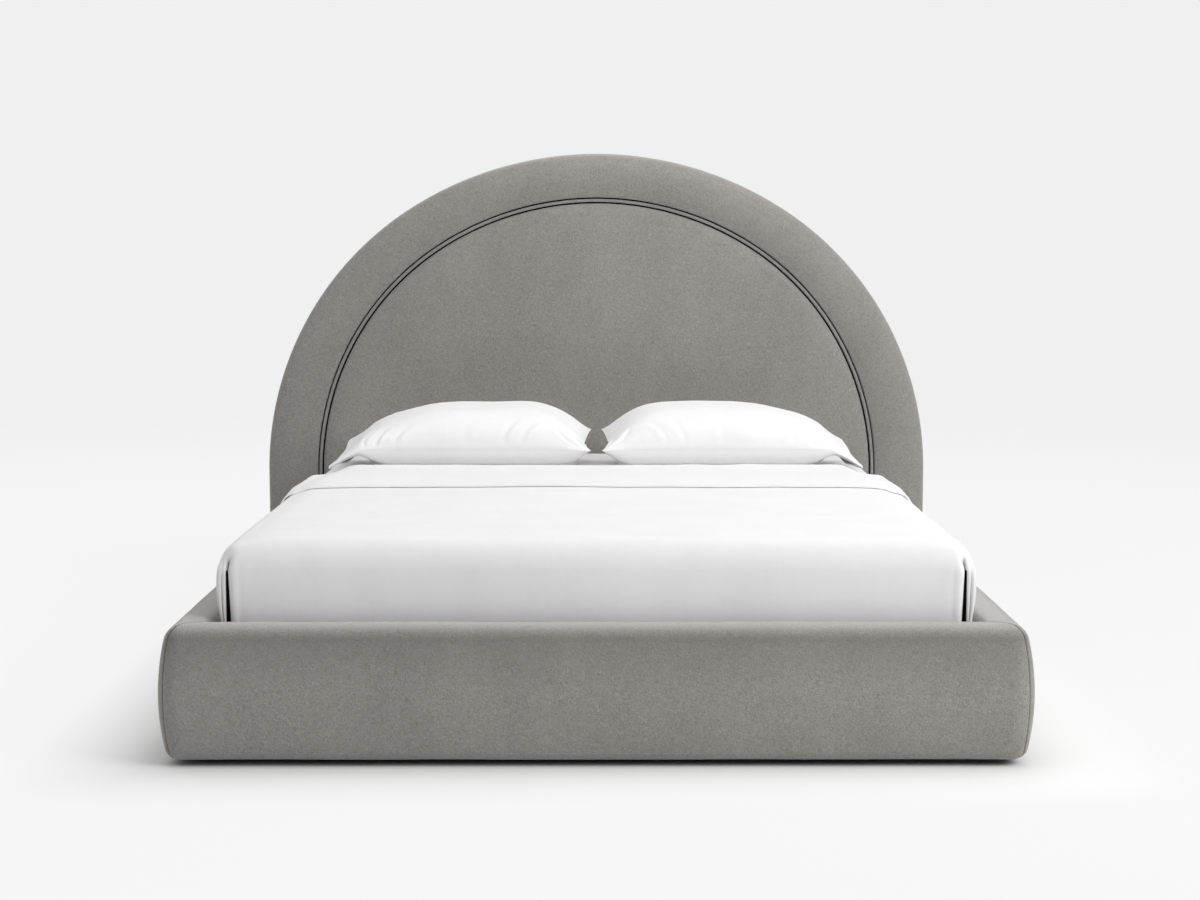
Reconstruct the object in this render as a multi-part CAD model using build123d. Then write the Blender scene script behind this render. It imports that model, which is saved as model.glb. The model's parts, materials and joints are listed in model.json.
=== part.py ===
from build123d import *
import os
from math import atan2, cos, degrees, hypot, pi, sin, sqrt

# Upholstered double bed: a padded headboard with a half-round top, three padded rails round a slatted deck,
# and a mattress made up with a fitted sheet, a tucked coverlet, a turned-down sheet and two pillows.
# Millimetres. X runs across the bed, Y from the foot to the head, Z up.
# The origin is on the floor, at the centre of the footprint.

# Mattress, and the room left round it
mattress_width = 1530.0
mattress_length = 2030.0
mattress_height = 230.0
mattress_corner_radius = 36.0
mattress_shoulder_radius = 35.0
mattress_lower_radius = 22.0
mattress_side_crown = 4.0
side_gap = 20.0
foot_gap = 20.0
head_gap = 12.0
deck_height = 184.0
seat_clearance = 0.3

# Padded rails: the section is drawn from the inside face outwards
rail_thickness = 102.0
rail_height = 288.0
floor_gap = 14.0
belly_height = 155.0
belly_radius = 500.0
rail_top_radius = 34.0
rail_bottom_radius = 26.0
rail_inner_radius = 22.0
rail_corner_radius = 35.0
cover_thickness = 2.0
lip_foam = 10.0
lip_clearance = 6.0
board_thickness = 45.0
board_top_foam = 31.0
cover_turn_under = 7.0

# Headboard: a three-centre arch on straight sides
headboard_overhang = 111.0
spring_height = 357.0
shoulder_offset = 55.0
crown_drop = 85.0
back_thickness = 3.0
frame_depth = 40.0
panel_thickness = 18.0
pad_depth = 52.0
edge_foam = 24.0
edge_bulge = 3.0
border_width = 142.0
border_crown = 13.0
border_outer_radius = 34.0
border_inner_radius = 5.0
border_back_radius = 12.0
welt_radius = 6.5
welt_gap = 1.5
welt_recess = 4.5
welt_flange = 2.0
centre_pad_depth = 46.0
centre_pad_radius = 22.0
centre_pad_bottom = 200.0
rim_width = 60.0
post_width = 70.0
post_inset = 5.0
notch_clearance = 0.5

# Slatted deck
slat_count = 13
slat_width = 90.0
slat_thickness = 18.0
slat_edge_radius = 3.0
slat_end_gap = 5.0
strap_width = 25.0
strap_thickness = 1.2
strap_offset = 400.0
ledger_width = 30.0
ledger_height = 40.0
ledger_end_gap = 10.0
beam_width = 40.0
beam_height = 60.0
beam_wall = 2.0
beam_end_gap = 1.0
hanger_sheet = 3.0
hanger_reach = 40.0
hanger_wing = 28.0
hanger_play = 0.5

# Angle brackets and bolts
bracket_leg = 80.0
bracket_height = 60.0
bracket_sheet = 4.0
bracket_bottom = 60.0
bolt_radius = 4.0
bolt_head_width = 13.0
bolt_head_height = 5.0
bolt_play = 0.2
board_bolt_length = 38.0
panel_bolt_length = 50.0
bracket_bolt_share = 0.75
bracket_row_share = 0.25
screw_radius = 2.5
screw_head_radius = 5.0
screw_head_height = 3.0
screw_length = 62.0
screw_count = 3
screw_end_distance = 120.0

# Feet, legs and glides
foot_radius = 18.0
foot_edge = 2.0
front_foot_distance = 190.0
middle_foot_offset = 60.0
leg_radius = 17.0
leg_flange_radius = 26.0
leg_flange_thickness = 4.0
leg_pad_radius = 22.0
leg_pad_height = 8.0
leg_spacing = 900.0

# Bed linen
sheet_thickness = 2.0
sheet_tuck = 60.0
coverlet_top_thickness = 31.0
coverlet_side_thickness = 12.0
linen_drop = 30.0
coverlet_head_distance = 768.0
turndown_length = 466.0
turndown_top_thickness = 14.0
turndown_side_thickness = 4.0
slit_width = 6.0
slit_inset = 19.0
slit_start = 34.0
corner_fold_thickness = 4.0
corner_fold_length = 190.0
corner_fold_start = 40.0

# Pillows
pillow_width = 622.0
pillow_depth = 492.0
pillow_height = 195.0
pillow_seam_height = 80.0
pillow_crown = 14.0
pillow_end_drop = 3.0
pillow_side_draw = 16.0
pillow_end_draw = 22.0
pillow_side_rise = 112.0
pillow_end_rise = 150.0
pillow_rise_bow = 13.0
pillow_shoulder_radius = 150.0
pillow_belly_run = 62.0
pillow_belly_bow = 9.0
pillow_belly_radius = 60.0
pillow_parting = 35.0
pillow_front_gap = 22.0
hem_length = 72.0
hem_root = 44.0
hem_inset = 26.0
hem_thickness = 6.0
hem_front_height = 36.0
hem_rear_height = 62.0

# Tool overrun for cuts
overrun = 5.0

# Places worked out from the sizes above
inner_half = mattress_width / 2 + side_gap
outer_half = inner_half + rail_thickness
board_inset = lip_foam + cover_thickness
board_inner_half = inner_half + board_inset
head_depth = back_thickness + frame_depth + panel_thickness + pad_depth
total_length = rail_thickness + foot_gap + mattress_length + head_gap + head_depth
foot_face = -total_length / 2
foot_inner = foot_face + rail_thickness
foot_board_inner = foot_inner - board_inset
back_face = total_length / 2
frame_back = back_face - back_thickness
panel_back = frame_back - frame_depth
panel_front = panel_back - panel_thickness
mattress_foot = foot_inner + foot_gap
mattress_head = mattress_foot + mattress_length
board_bottom = floor_gap + cover_thickness
board_top = rail_height - cover_thickness - board_top_foam
slat_bottom = deck_height - slat_thickness
mattress_base = deck_height + seat_clearance + sheet_thickness + seat_clearance
mattress_top = mattress_base + mattress_height
coverlet_end = mattress_head - coverlet_head_distance

arch_half = outer_half + headboard_overhang
shoulder_radius = arch_half - shoulder_offset
crown_radius = shoulder_radius + hypot(shoulder_offset, crown_drop)
crown_centre = spring_height - crown_drop
crown_angle = atan2(shoulder_offset, crown_drop)

parts = {}


def block(x_low, x_high, y_low, y_high, z_low, z_high):
    """A box between three pairs of limits."""
    size = (x_high - x_low, y_high - y_low, z_high - z_low)
    corner = Location((x_low, y_low, z_low))
    return corner * Box(*size, align=(Align.MIN, Align.MIN, Align.MIN))


def both_sides(shape):
    """A right-hand piece and its mirror image on the left."""
    return shape + mirror(shape, about=Plane.YZ)


def left_of(shape):
    """The left-hand copy of a right-hand piece."""
    return mirror(shape, about=Plane.YZ)


# Rail sections, drawn with x outwards from the inside face and y upwards


def rail_form(growth=0.0):
    """The outline of a padded rail: soft top edges, a slow belly outside and a rounded lower edge."""
    top_inset = belly_radius - sqrt(belly_radius**2 - (rail_height - belly_height) ** 2)
    bottom_inset = belly_radius - sqrt(belly_radius**2 - (belly_height - floor_gap) ** 2)
    inner_bottom = (0, floor_gap)
    inner_top = (0, rail_height)
    outer_top = (rail_thickness - top_inset, rail_height)
    belly = (rail_thickness, belly_height)
    outer_bottom = (rail_thickness - bottom_inset, floor_gap)
    outline = Polyline(outer_bottom, inner_bottom, inner_top, outer_top)
    outline += ThreePointArc(outer_top, belly, outer_bottom)
    face = make_face(outline)
    corners = face.vertices()
    face = fillet(near(corners, inner_top), rail_inner_radius)
    face = fillet(near(face.vertices(), outer_top), rail_top_radius)
    face = fillet(near(face.vertices(), outer_bottom), rail_bottom_radius)
    return offset(face, amount=growth) if growth else face


def near(vertices, point):
    """The vertex closest to a point of the section."""
    return vertices.sort_by_distance((*point, 0))[0]


def section_box(x_low, x_high, y_low, y_high):
    """A rectangle of the section between two pairs of limits."""
    corner = Location((x_low, y_low))
    return corner * Rectangle(x_high - x_low, y_high - y_low, align=(Align.MIN, Align.MIN))


def rail_sections():
    """The board, the foam round it and the fabric cover, as faces that fit one another."""
    form = rail_form()
    core = offset(form, amount=-cover_thickness)
    lip_bottom = deck_height + lip_clearance
    board_outer = board_inset + board_thickness
    board = section_box(board_inset, board_outer, board_bottom, board_top)
    under_lip = section_box(-overrun, board_inset, floor_gap - overrun, lip_bottom)
    foam = core - board - under_lip
    bare_underside = section_box(-overrun, board_outer - cover_turn_under, floor_gap - overrun, board_bottom)
    cover = form - core - under_lip - bare_underside
    return board, foam, cover


def strip_of(section):
    """The outermost part of a section, which turns the corner of the bed."""
    turning = section_box(rail_thickness - rail_corner_radius, rail_thickness + overrun, 0, rail_height)
    return section & turning


def corner_turn(section, foot_side):
    """Half of the rounded corner at the foot, from the straight rail to the seam on the mitre."""
    strip = strip_of(section)
    if not strip or not strip.faces():
        return None
    turn_x = outer_half - rail_corner_radius
    turn_y = foot_face + rail_corner_radius
    if foot_side:
        start = Plane((turn_x, foot_inner, 0), x_dir=(0, -1, 0), z_dir=(-1, 0, 0))
        axis = Axis((turn_x, turn_y, 0), (0, 0, 1))
    else:
        start = Plane((inner_half, turn_y, 0), x_dir=(1, 0, 0), z_dir=(0, -1, 0))
        axis = Axis((turn_x, turn_y, 0), (0, 0, -1))
    return revolve(start * strip, axis=axis, revolution_arc=45)


def side_rail(section):
    """A right-hand side rail piece, mitred at the foot and square at the head."""
    start = foot_face + rail_corner_radius
    plane = Plane((inner_half, start, 0), x_dir=(1, 0, 0), z_dir=(0, -1, 0))
    straight = extrude(plane * section, amount=start - panel_front)
    inner = (inner_half - overrun, foot_inner + overrun)
    outer = (outer_half + overrun, foot_face - overrun)
    plan = make_face(Polyline(inner, outer, (outer[0], panel_front), (inner[0], panel_front), inner))
    solid = straight & extrude(plan, amount=rail_height)
    turn = corner_turn(section, foot_side=False)
    return solid + turn if turn else solid


def foot_rail(section):
    """The foot rail piece, mitred at both ends."""
    turn_x = outer_half - rail_corner_radius
    plane = Plane((turn_x, foot_inner, 0), x_dir=(0, -1, 0), z_dir=(-1, 0, 0))
    straight = extrude(plane * section, amount=2 * turn_x)
    inner_x = inner_half - overrun
    outer_x = outer_half + overrun
    inner_y = foot_inner + overrun
    outer_y = foot_face - overrun
    inner_end = (inner_x, inner_y)
    outer_end = (outer_x, outer_y)
    plan = Polyline(mirrored(inner_end), inner_end, outer_end, mirrored(outer_end), mirrored(inner_end))
    solid = straight & extrude(make_face(plan), amount=rail_height)
    turn = corner_turn(section, foot_side=True)
    return solid + both_sides(turn) if turn else solid


# Headboard shapes, drawn on the arch


def arch_face(inset, bottom):
    """The arch outline, drawn in from the edge, as a face standing on the XZ plane."""
    half = arch_half - inset
    shoulder = shoulder_radius - inset
    crown = crown_radius - inset
    middle = (pi / 2 + crown_angle) / 2
    foot = (half, bottom)
    spring = (half, spring_height)
    shoulder_middle = (shoulder_offset + shoulder * sin(middle), spring_height + shoulder * cos(middle))
    joint = (crown * sin(crown_angle), crown_centre + crown * cos(crown_angle))
    top = (0, crown_centre + crown)
    outline = Polyline(mirrored(spring), mirrored(foot), foot, spring)
    outline += ThreePointArc(spring, shoulder_middle, joint)
    outline += ThreePointArc(joint, top, mirrored(joint))
    outline += ThreePointArc(mirrored(joint), mirrored(shoulder_middle), mirrored(spring))
    return Plane.XZ * make_face(outline)


def mirrored(point):
    return (-point[0], point[1])


def arch_panel(inset, bottom, y_front, y_back):
    """A flat piece with the arch outline between two planes."""
    return Location((0, y_back, 0)) * extrude(arch_face(inset, bottom), amount=y_back - y_front)


def arch_leg(section, bottom):
    """The straight right-hand leg of a band round the arch. The section has x inwards and y forwards."""
    plane = Plane((arch_half, back_face, bottom), x_dir=(-1, 0, 0), z_dir=(0, 0, 1))
    return extrude(plane * section, amount=spring_height - bottom)


def arch_shoulder(section):
    """The right-hand shoulder of a band round the arch."""
    plane = Plane((arch_half, back_face, spring_height), x_dir=(-1, 0, 0), z_dir=(0, 0, 1))
    axis = Axis((shoulder_offset, 0, spring_height), (0, -1, 0))
    return revolve(plane * section, axis=axis, revolution_arc=degrees(pi / 2 - crown_angle))


def arch_crown(section):
    """The top of a band round the arch, between the two shoulders."""
    across = sin(crown_angle)
    up = cos(crown_angle)
    edge = (crown_radius * across, back_face, crown_centre + crown_radius * up)
    plane = Plane(edge, x_dir=(-across, 0, -up), z_dir=(-up, 0, across))
    axis = Axis((0, 0, crown_centre), (0, -1, 0))
    return revolve(plane * section, axis=axis, revolution_arc=degrees(2 * crown_angle))


def arch_band(section, bottom):
    """A whole band round the arch, from one foot to the other."""
    side = arch_leg(section, bottom) + arch_shoulder(section)
    return both_sides(side) + arch_crown(section)


def rail_notch():
    """The space that both side rails take where their ends pass through the headboard's padding."""
    plane = Plane((inner_half, panel_front, 0), x_dir=(1, 0, 0), z_dir=(0, -1, 0))
    return both_sides(extrude(plane * rail_form(notch_clearance), amount=pad_depth + overrun))


def border_section():
    """The padded border: a crowned front, a round outer edge that wraps the frame, and a tight inner edge."""
    frame_front = back_thickness + frame_depth + panel_thickness
    front = frame_front + pad_depth
    outer_back = (edge_bulge, 0)
    outer_middle = (0, front / 2)
    outer_front = (edge_bulge, front - border_crown)
    crown = (border_width / 2, front)
    inner_front = (border_width, front - border_crown)
    outline = ThreePointArc(outer_back, outer_middle, outer_front)
    outline += ThreePointArc(outer_front, crown, inner_front)
    outline += Polyline(
        inner_front, (border_width, frame_front), (edge_foam, frame_front), (edge_foam, 0), outer_back
    )
    face = make_face(outline)
    face = fillet(near(face.vertices(), outer_front), border_outer_radius)
    face = fillet(near(face.vertices(), inner_front), border_inner_radius)
    return fillet(near(face.vertices(), outer_back), border_back_radius)


def welt_section():
    """A round piping cord on the flange that holds it to the panel."""
    frame_front = back_thickness + frame_depth + panel_thickness
    centre = (border_width + welt_gap + welt_radius, frame_front + pad_depth - welt_recess - welt_radius)
    cord = Location(centre) * Circle(welt_radius)
    flange_start = centre[0] - welt_flange / 2
    return cord + section_box(flange_start, flange_start + welt_flange, frame_front, centre[1])


def centre_pad():
    """The padded field inside the piping, with a soft front edge."""
    inset = border_width + 2 * welt_gap + 2 * welt_radius
    front = panel_front - centre_pad_depth
    pad = arch_panel(inset, centre_pad_bottom, front, panel_front)
    front_edges = pad.faces().sort_by(Axis.Y)[0].edges()
    rim = front_edges.filter_by(lambda edge: edge.center().Z > centre_pad_bottom + centre_pad_radius)
    return fillet(rim, centre_pad_radius)


def rim_section():
    """A stiffening rim behind the panel's edge."""
    outer = edge_foam + seat_clearance
    return section_box(outer, outer + rim_width, back_thickness, back_thickness + frame_depth)


def rim_underside(x, radius, centre_x, centre_z):
    """Height of the inside of the rim above a place across the bed."""
    inside = radius - edge_foam - seat_clearance - rim_width
    return centre_z + sqrt(inside**2 - (x - centre_x) ** 2)


def build_headboard():
    notch = rail_notch()
    edge = edge_foam + seat_clearance
    parts["headboard_panel"] = bored(arch_panel(edge, board_bottom, panel_front, panel_back), head_bolts())
    parts["headboard_back_cover"] = arch_panel(edge, board_bottom, frame_back, back_face)
    rim = rim_section()
    rim_right = arch_leg(rim, board_bottom) + arch_shoulder(rim)
    parts["headboard_rim_right"] = rim_right
    parts["headboard_rim_left"] = left_of(rim_right)
    parts["headboard_rim_crown"] = arch_crown(rim)
    parts["headboard_border_pad"] = arch_band(border_section(), floor_gap) - notch
    parts["headboard_centre_pad"] = centre_pad() - notch
    parts["headboard_welt"] = arch_band(welt_section(), rail_height + notch_clearance)

    post_outer = board_inner_half - post_inset
    post_inner = post_outer - post_width
    post_top = rim_underside(post_outer, shoulder_radius, shoulder_offset, spring_height) - seat_clearance
    post = block(post_inner, post_outer, panel_back, frame_back, board_bottom, post_top)
    post = bored(post, head_bolts())
    parts["headboard_post_right"] = post
    parts["headboard_post_left"] = left_of(post)
    rail_low = slat_bottom - beam_height - (post_width - beam_height) / 2
    lower = block(-post_inner, post_inner, panel_back, frame_back, rail_low, rail_low + post_width)
    parts["headboard_crossrail_lower"] = bored(lower, head_bolts())
    upper = block(-post_inner, post_inner, panel_back, frame_back, post_top - post_width, post_top)
    parts["headboard_crossrail_upper"] = upper
    stile_top = rim_underside(post_width / 2, crown_radius, 0, crown_centre) - seat_clearance
    stile = block(-post_width / 2, post_width / 2, panel_back, frame_back, post_top, stile_top)
    parts["headboard_centre_stile"] = stile
    glide_x = (post_inner + post_outer) / 2
    glide = foot_at(glide_x, (panel_back + frame_back) / 2)
    parts["headboard_glides"] = both_sides(glide)


# Bolts, each as (centre of the head's seat, direction of the shank, length of the shank)


def bolt(seat, direction, length, play=0.0):
    """A hexagon-headed bolt. With play it is the hole that the shank needs."""
    plane = Plane(seat, z_dir=direction)
    shank = extrude(plane * Circle(bolt_radius + play), amount=length + play)
    if play:
        return shank
    head = RegularPolygon(bolt_head_width / 2, side_count=6, major_radius=False)
    return shank + extrude(plane * head, amount=-bolt_head_height)


def bracket_heights():
    step = bracket_height * bracket_row_share
    return (bracket_bottom + step, bracket_bottom + bracket_height - step)


def side_board_bolts():
    """Seats of the bolts that hold both angle brackets to the right-hand side board."""
    seat_x = board_inner_half - bracket_sheet
    far = bracket_leg * bracket_bolt_share
    places = (foot_board_inner + far, panel_front - far)
    return [((seat_x, y, z), (1, 0, 0), board_bolt_length) for y in places for z in bracket_heights()]


def foot_board_bolts():
    """Seats of the bolts in the foot board: the right-hand bracket and the beam hanger."""
    seats = []
    for z in bracket_heights():
        place = (board_inner_half - bracket_leg * bracket_bolt_share, foot_board_inner + bracket_sheet, z)
        seats.append((place, (0, -1, 0), board_bolt_length))
    hanger = (hanger_bolt_x(), foot_board_inner + hanger_sheet, slat_bottom - beam_height / 2)
    seats.append((hanger, (0, -1, 0), board_bolt_length))
    return seats


def head_bolts():
    """Seats of the bolts through the panel: the right-hand bracket and the beam hanger."""
    post_middle = board_inner_half - post_inset - post_width / 2
    seats = []
    for z in bracket_heights():
        seats.append(((post_middle, panel_front - bracket_sheet, z), (0, 1, 0), panel_bolt_length))
    hanger = (hanger_bolt_x(), panel_front - hanger_sheet, slat_bottom - beam_height / 2)
    seats.append((hanger, (0, 1, 0), panel_bolt_length))
    return seats


def hanger_bolt_x():
    return beam_width / 2 + hanger_play + hanger_sheet + hanger_wing / 2


def bored(solid, seats):
    """A piece with the holes for a list of bolts and for their mirror images."""
    for seat, direction, length in seats:
        hole = bolt(seat, direction, length, bolt_play)
        solid = solid - hole - left_of(hole)
    return solid


def build_bolts():
    bolts = Part()
    for seat, direction, length in side_board_bolts() + foot_board_bolts() + head_bolts():
        bolts += both_sides(bolt(seat, direction, length))
    parts["frame_bolts"] = bolts


def angle_bracket(y_wall, inward):
    """The right-hand angle bracket between a side board and a wall across the bed."""
    top = bracket_bottom + bracket_height
    along = sorted((y_wall, y_wall + inward * bracket_leg))
    across = sorted((y_wall, y_wall + inward * bracket_sheet))
    side_leg = block(board_inner_half - bracket_sheet, board_inner_half, *along, bracket_bottom, top)
    wall_leg = block(board_inner_half - bracket_leg, board_inner_half, *across, bracket_bottom, top)
    return bored(side_leg + wall_leg, side_board_bolts() + foot_board_bolts() + head_bolts())


def build_rails():
    board, foam, cover = rail_sections()
    side_board = bored(side_rail(board), side_board_bolts())
    parts["rail_board_right"] = side_board
    parts["rail_board_left"] = left_of(side_board)
    parts["rail_board_foot"] = bored(foot_rail(board), foot_board_bolts())
    for name, section in (("foam", foam), ("cover", cover)):
        side = side_rail(section)
        parts[f"rail_{name}_right"] = side
        parts[f"rail_{name}_left"] = left_of(side)
        parts[f"rail_{name}_foot"] = foot_rail(section)
    foot_bracket = angle_bracket(foot_board_inner, 1)
    head_bracket = angle_bracket(panel_front, -1)
    parts["foot_bracket_right"] = foot_bracket
    parts["foot_bracket_left"] = left_of(foot_bracket)
    parts["head_bracket_right"] = head_bracket
    parts["head_bracket_left"] = left_of(head_bracket)


def foot_at(x, y):
    """A low plastic foot under a board."""
    body = extrude(Location((x, y)) * Circle(foot_radius), amount=board_bottom)
    return chamfer(body.edges().sort_by(Axis.Z)[0], foot_edge)


def build_feet():
    foot_x = board_inner_half + foot_radius + cover_thickness
    front = foot_at(foot_x, foot_face + front_foot_distance)
    middle = foot_at(foot_x, middle_foot_offset)
    parts["front_foot_right"] = front
    parts["front_foot_left"] = left_of(front)
    parts["middle_foot_right"] = middle
    parts["middle_foot_left"] = left_of(middle)


def centre_leg(y):
    """A turned plastic leg under the centre beam: top flange, tapering shaft and floor pad."""
    top = slat_bottom - beam_height
    profile = Polyline(
        (0, 0),
        (leg_pad_radius, 0),
        (leg_pad_radius, leg_pad_height),
        (leg_radius, leg_pad_height + leg_pad_radius - leg_radius),
        (leg_radius, top - leg_flange_thickness - leg_flange_radius + leg_radius),
        (leg_flange_radius, top - leg_flange_thickness),
        (leg_flange_radius, top),
        (0, top),
        (0, 0),
    )
    leg = revolve(Plane.XZ * make_face(profile), axis=Axis.Z)
    return Location((0, y, 0)) * leg


def beam_hanger(y_wall, inward):
    """A pressed steel seat that holds one end of the centre beam."""
    half = beam_width / 2 + hanger_play
    cheek = half + hanger_sheet
    wing = cheek + hanger_wing
    seat = slat_bottom - beam_height
    low = seat - hanger_sheet
    plate = sorted((y_wall, y_wall + inward * hanger_sheet))
    reach = sorted((y_wall, y_wall + inward * hanger_reach))
    hanger = block(-wing, wing, *plate, low, slat_bottom)
    hanger += block(-cheek, cheek, *reach, low, seat)
    hanger += both_sides(block(half, cheek, *reach, low, slat_bottom))
    return bored(hanger, foot_board_bolts() + head_bolts())


def ledger_screw():
    """One countersunk wood screw through the right-hand ledger into its side board."""
    seat = (board_inner_half - ledger_width, 0, slat_bottom - ledger_height / 2)
    profile = Polyline(
        (0, 0),
        (screw_head_radius, 0),
        (screw_radius, screw_head_height),
        (screw_radius, screw_length - screw_head_height),
        (0, screw_length),
        (0, 0),
    )
    plane = Plane(seat, x_dir=(0, 1, 0), z_dir=(0, 0, -1))
    return revolve(plane * make_face(profile), axis=Axis(seat, (1, 0, 0)))


def build_deck():
    ledger = block(
        board_inner_half - ledger_width,
        board_inner_half,
        foot_board_inner + ledger_end_gap,
        panel_front - ledger_end_gap,
        slat_bottom - ledger_height,
        slat_bottom,
    )
    screw = ledger_screw()
    screws = Part()
    first_screw = foot_board_inner + screw_end_distance
    screw_pitch = (panel_front - screw_end_distance - first_screw) / (screw_count - 1)
    for index in range(screw_count):
        screws += Location((0, first_screw + index * screw_pitch, 0)) * screw
    parts["ledger_right"] = ledger - screws
    parts["ledger_left"] = left_of(parts["ledger_right"])
    parts["rail_board_right"] -= screws
    parts["rail_board_left"] = left_of(parts["rail_board_right"])
    parts["ledger_screws"] = both_sides(screws)

    beam_start = foot_board_inner + hanger_sheet + beam_end_gap
    beam_end = panel_front - hanger_sheet - beam_end_gap
    beam_low = slat_bottom - beam_height
    half = beam_width / 2
    tube = block(-half, half, beam_start, beam_end, beam_low, slat_bottom)
    bore = block(
        beam_wall - half,
        half - beam_wall,
        beam_start - overrun,
        beam_end + overrun,
        beam_low + beam_wall,
        slat_bottom - beam_wall,
    )
    parts["centre_beam"] = tube - bore
    parts["beam_hanger_foot"] = beam_hanger(foot_board_inner, 1)
    parts["beam_hanger_head"] = beam_hanger(panel_front, -1)
    parts["centre_leg_front"] = centre_leg(-leg_spacing / 2)
    parts["centre_leg_rear"] = centre_leg(leg_spacing / 2)

    slat_half = board_inner_half - slat_end_gap
    first = mattress_foot + slat_width / 2
    pitch = (mattress_length - slat_width) / (slat_count - 1)
    for index in range(slat_count):
        middle = first + index * pitch
        start = middle - slat_width / 2
        slat = block(-slat_half, slat_half, start, start + slat_width, slat_bottom, deck_height)
        parts[f"slat_{index + 1:02d}"] = fillet(slat.edges().filter_by(Axis.X), slat_edge_radius)
    strap = block(
        strap_offset - strap_width / 2,
        strap_offset + strap_width / 2,
        mattress_foot,
        mattress_head,
        slat_bottom - strap_thickness,
        slat_bottom,
    )
    parts["slat_straps"] = both_sides(strap)


# Mattress and linen


def soft_profile(half, low, high, shoulder):
    """A section of the mattress or a layer round it: crowned sides, soft shoulders, tighter lower edges."""
    flat = half - mattress_side_crown
    middle = (low + high) / 2
    outline = Line((-flat, low), (flat, low))
    outline += ThreePointArc((flat, low), (half, middle), (flat, high))
    outline += Line((flat, high), (-flat, high))
    outline += ThreePointArc((-flat, high), (-half, middle), (-flat, low))
    face = make_face(outline)
    upper = [near(face.vertices(), (flat, high)), near(face.vertices(), (-flat, high))]
    face = fillet(upper, shoulder)
    lower = [near(face.vertices(), (flat, low)), near(face.vertices(), (-flat, low))]
    return fillet(lower, mattress_lower_radius)


def mattress_form(sides=0.0, top=0.0, under=0.0):
    """The mattress block, or the outside of a layer of the given thickness round it."""
    low = mattress_base - under
    high = mattress_top + top
    shoulder = mattress_shoulder_radius + (sides + top) / 2
    half_width = mattress_width / 2 + sides
    half_length = mattress_length / 2 + sides
    centre = Location((0, (mattress_foot + mattress_head) / 2, 0))
    across = soft_profile(half_width, low, high, shoulder)
    across = extrude(Plane.XZ * across, amount=half_length + overrun, both=True)
    along = soft_profile(half_length, low, high, shoulder)
    along = extrude(Plane.YZ * along, amount=half_width + overrun, both=True)
    plan = RectangleRounded(2 * half_width, 2 * half_length, mattress_corner_radius + sides)
    return centre * (across & extrude(plan, amount=high + overrun) & along)


def across_bed(y_low, y_high, z_low, z_high):
    """A box right across the bed, for trimming linen."""
    return block(-arch_half, arch_half, y_low, y_high, z_low, z_high)


def corner_fold(sides, top, drop):
    """The pleat of the right-hand foot corner: a triangle of cover folded flat against the side drop."""
    high = mattress_top - corner_fold_start
    foot = mattress_foot - sides
    slope = Polyline((foot, drop), (foot + corner_fold_length, drop), (foot, high), (foot, drop))
    triangle = extrude(Plane.YZ * make_face(slope), amount=arch_half)
    inner_edge = mattress_width / 2 - slit_inset
    beside = block(inner_edge, arch_half, foot_face, mattress_head, drop, high)
    layer = mattress_form(sides + corner_fold_thickness, top) - mattress_form(sides, top)
    return layer & triangle & beside


def build_bedding():
    parts["mattress"] = mattress_form()

    inside = seat_clearance
    outside = inside + sheet_thickness
    window = block(
        sheet_tuck - mattress_width / 2,
        mattress_width / 2 - sheet_tuck,
        mattress_foot + sheet_tuck,
        mattress_head - sheet_tuck,
        mattress_base - outside - overrun,
        mattress_base + overrun,
    )
    sheet = mattress_form(outside, outside, outside) - mattress_form(inside, inside, inside)
    parts["fitted_sheet"] = sheet - window

    drop = deck_height + linen_drop
    above = mattress_top + mattress_height
    inside = outside + seat_clearance
    sides = inside + coverlet_side_thickness
    top = inside + coverlet_top_thickness
    shell = mattress_form(sides, top) - mattress_form(inside, inside)
    shell = shell & across_bed(foot_face, coverlet_end, drop, above)
    slit_x = mattress_width / 2 - slit_inset
    slit = block(
        slit_x - slit_width / 2,
        slit_x + slit_width / 2,
        mattress_foot - sides - overrun,
        mattress_foot + mattress_corner_radius,
        drop - overrun,
        mattress_top - slit_start,
    )
    parts["coverlet"] = shell + both_sides(corner_fold(sides, top, drop)) - both_sides(slit)

    sides += seat_clearance
    top += seat_clearance
    turndown = mattress_form(sides + turndown_side_thickness, top + turndown_top_thickness)
    band = turndown - mattress_form(sides, top)
    parts["turned_down_sheet"] = band & across_bed(coverlet_end - turndown_length, coverlet_end, drop, above)


def pillow_profile(near_end, far_end, rise, base):
    """A section of a pillow: bowed rises from the seam to a crowned top, and a belly down to a flat base."""
    seam = base + pillow_seam_height
    shoulder = base + pillow_height - pillow_crown
    middle = (near_end + far_end) / 2
    near_seam = (near_end, seam)
    far_seam = (far_end, seam)
    near_top = (near_end + rise, shoulder)
    far_top = (far_end - rise, shoulder)
    near_base = (near_end + pillow_belly_run, base)
    far_base = (far_end - pillow_belly_run, base)
    outline = SagittaArc(near_seam, near_top, pillow_rise_bow)
    outline += ThreePointArc(near_top, (middle, base + pillow_height), far_top)
    outline += SagittaArc(far_top, far_seam, pillow_rise_bow)
    outline += SagittaArc(far_seam, far_base, pillow_belly_bow)
    outline += Line(far_base, near_base)
    outline += SagittaArc(near_base, near_seam, pillow_belly_bow)
    face = make_face(outline)
    for corner in (near_top, far_top):
        face = fillet(near(face.vertices(), corner), pillow_shoulder_radius)
    for corner in (near_base, far_base):
        face = fillet(near(face.vertices(), corner), pillow_belly_radius)
    return face


def pillow_hem(outer, front, back, base):
    """The open end of the pillowcase, which hangs down from the end seam."""
    root_x = outer - hem_root
    tip_x = outer + hem_length
    seam = base + pillow_seam_height
    front_tip = base + hem_front_height
    rear_tip = base + hem_rear_height
    half = hem_thickness / 2
    root = hem_slice(root_x, (front + hem_inset, seam), (back - hem_inset, seam), half)
    tip = hem_slice(tip_x, (front, front_tip), (back, rear_tip), half)
    return loft([root, tip], ruled=True)


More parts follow.
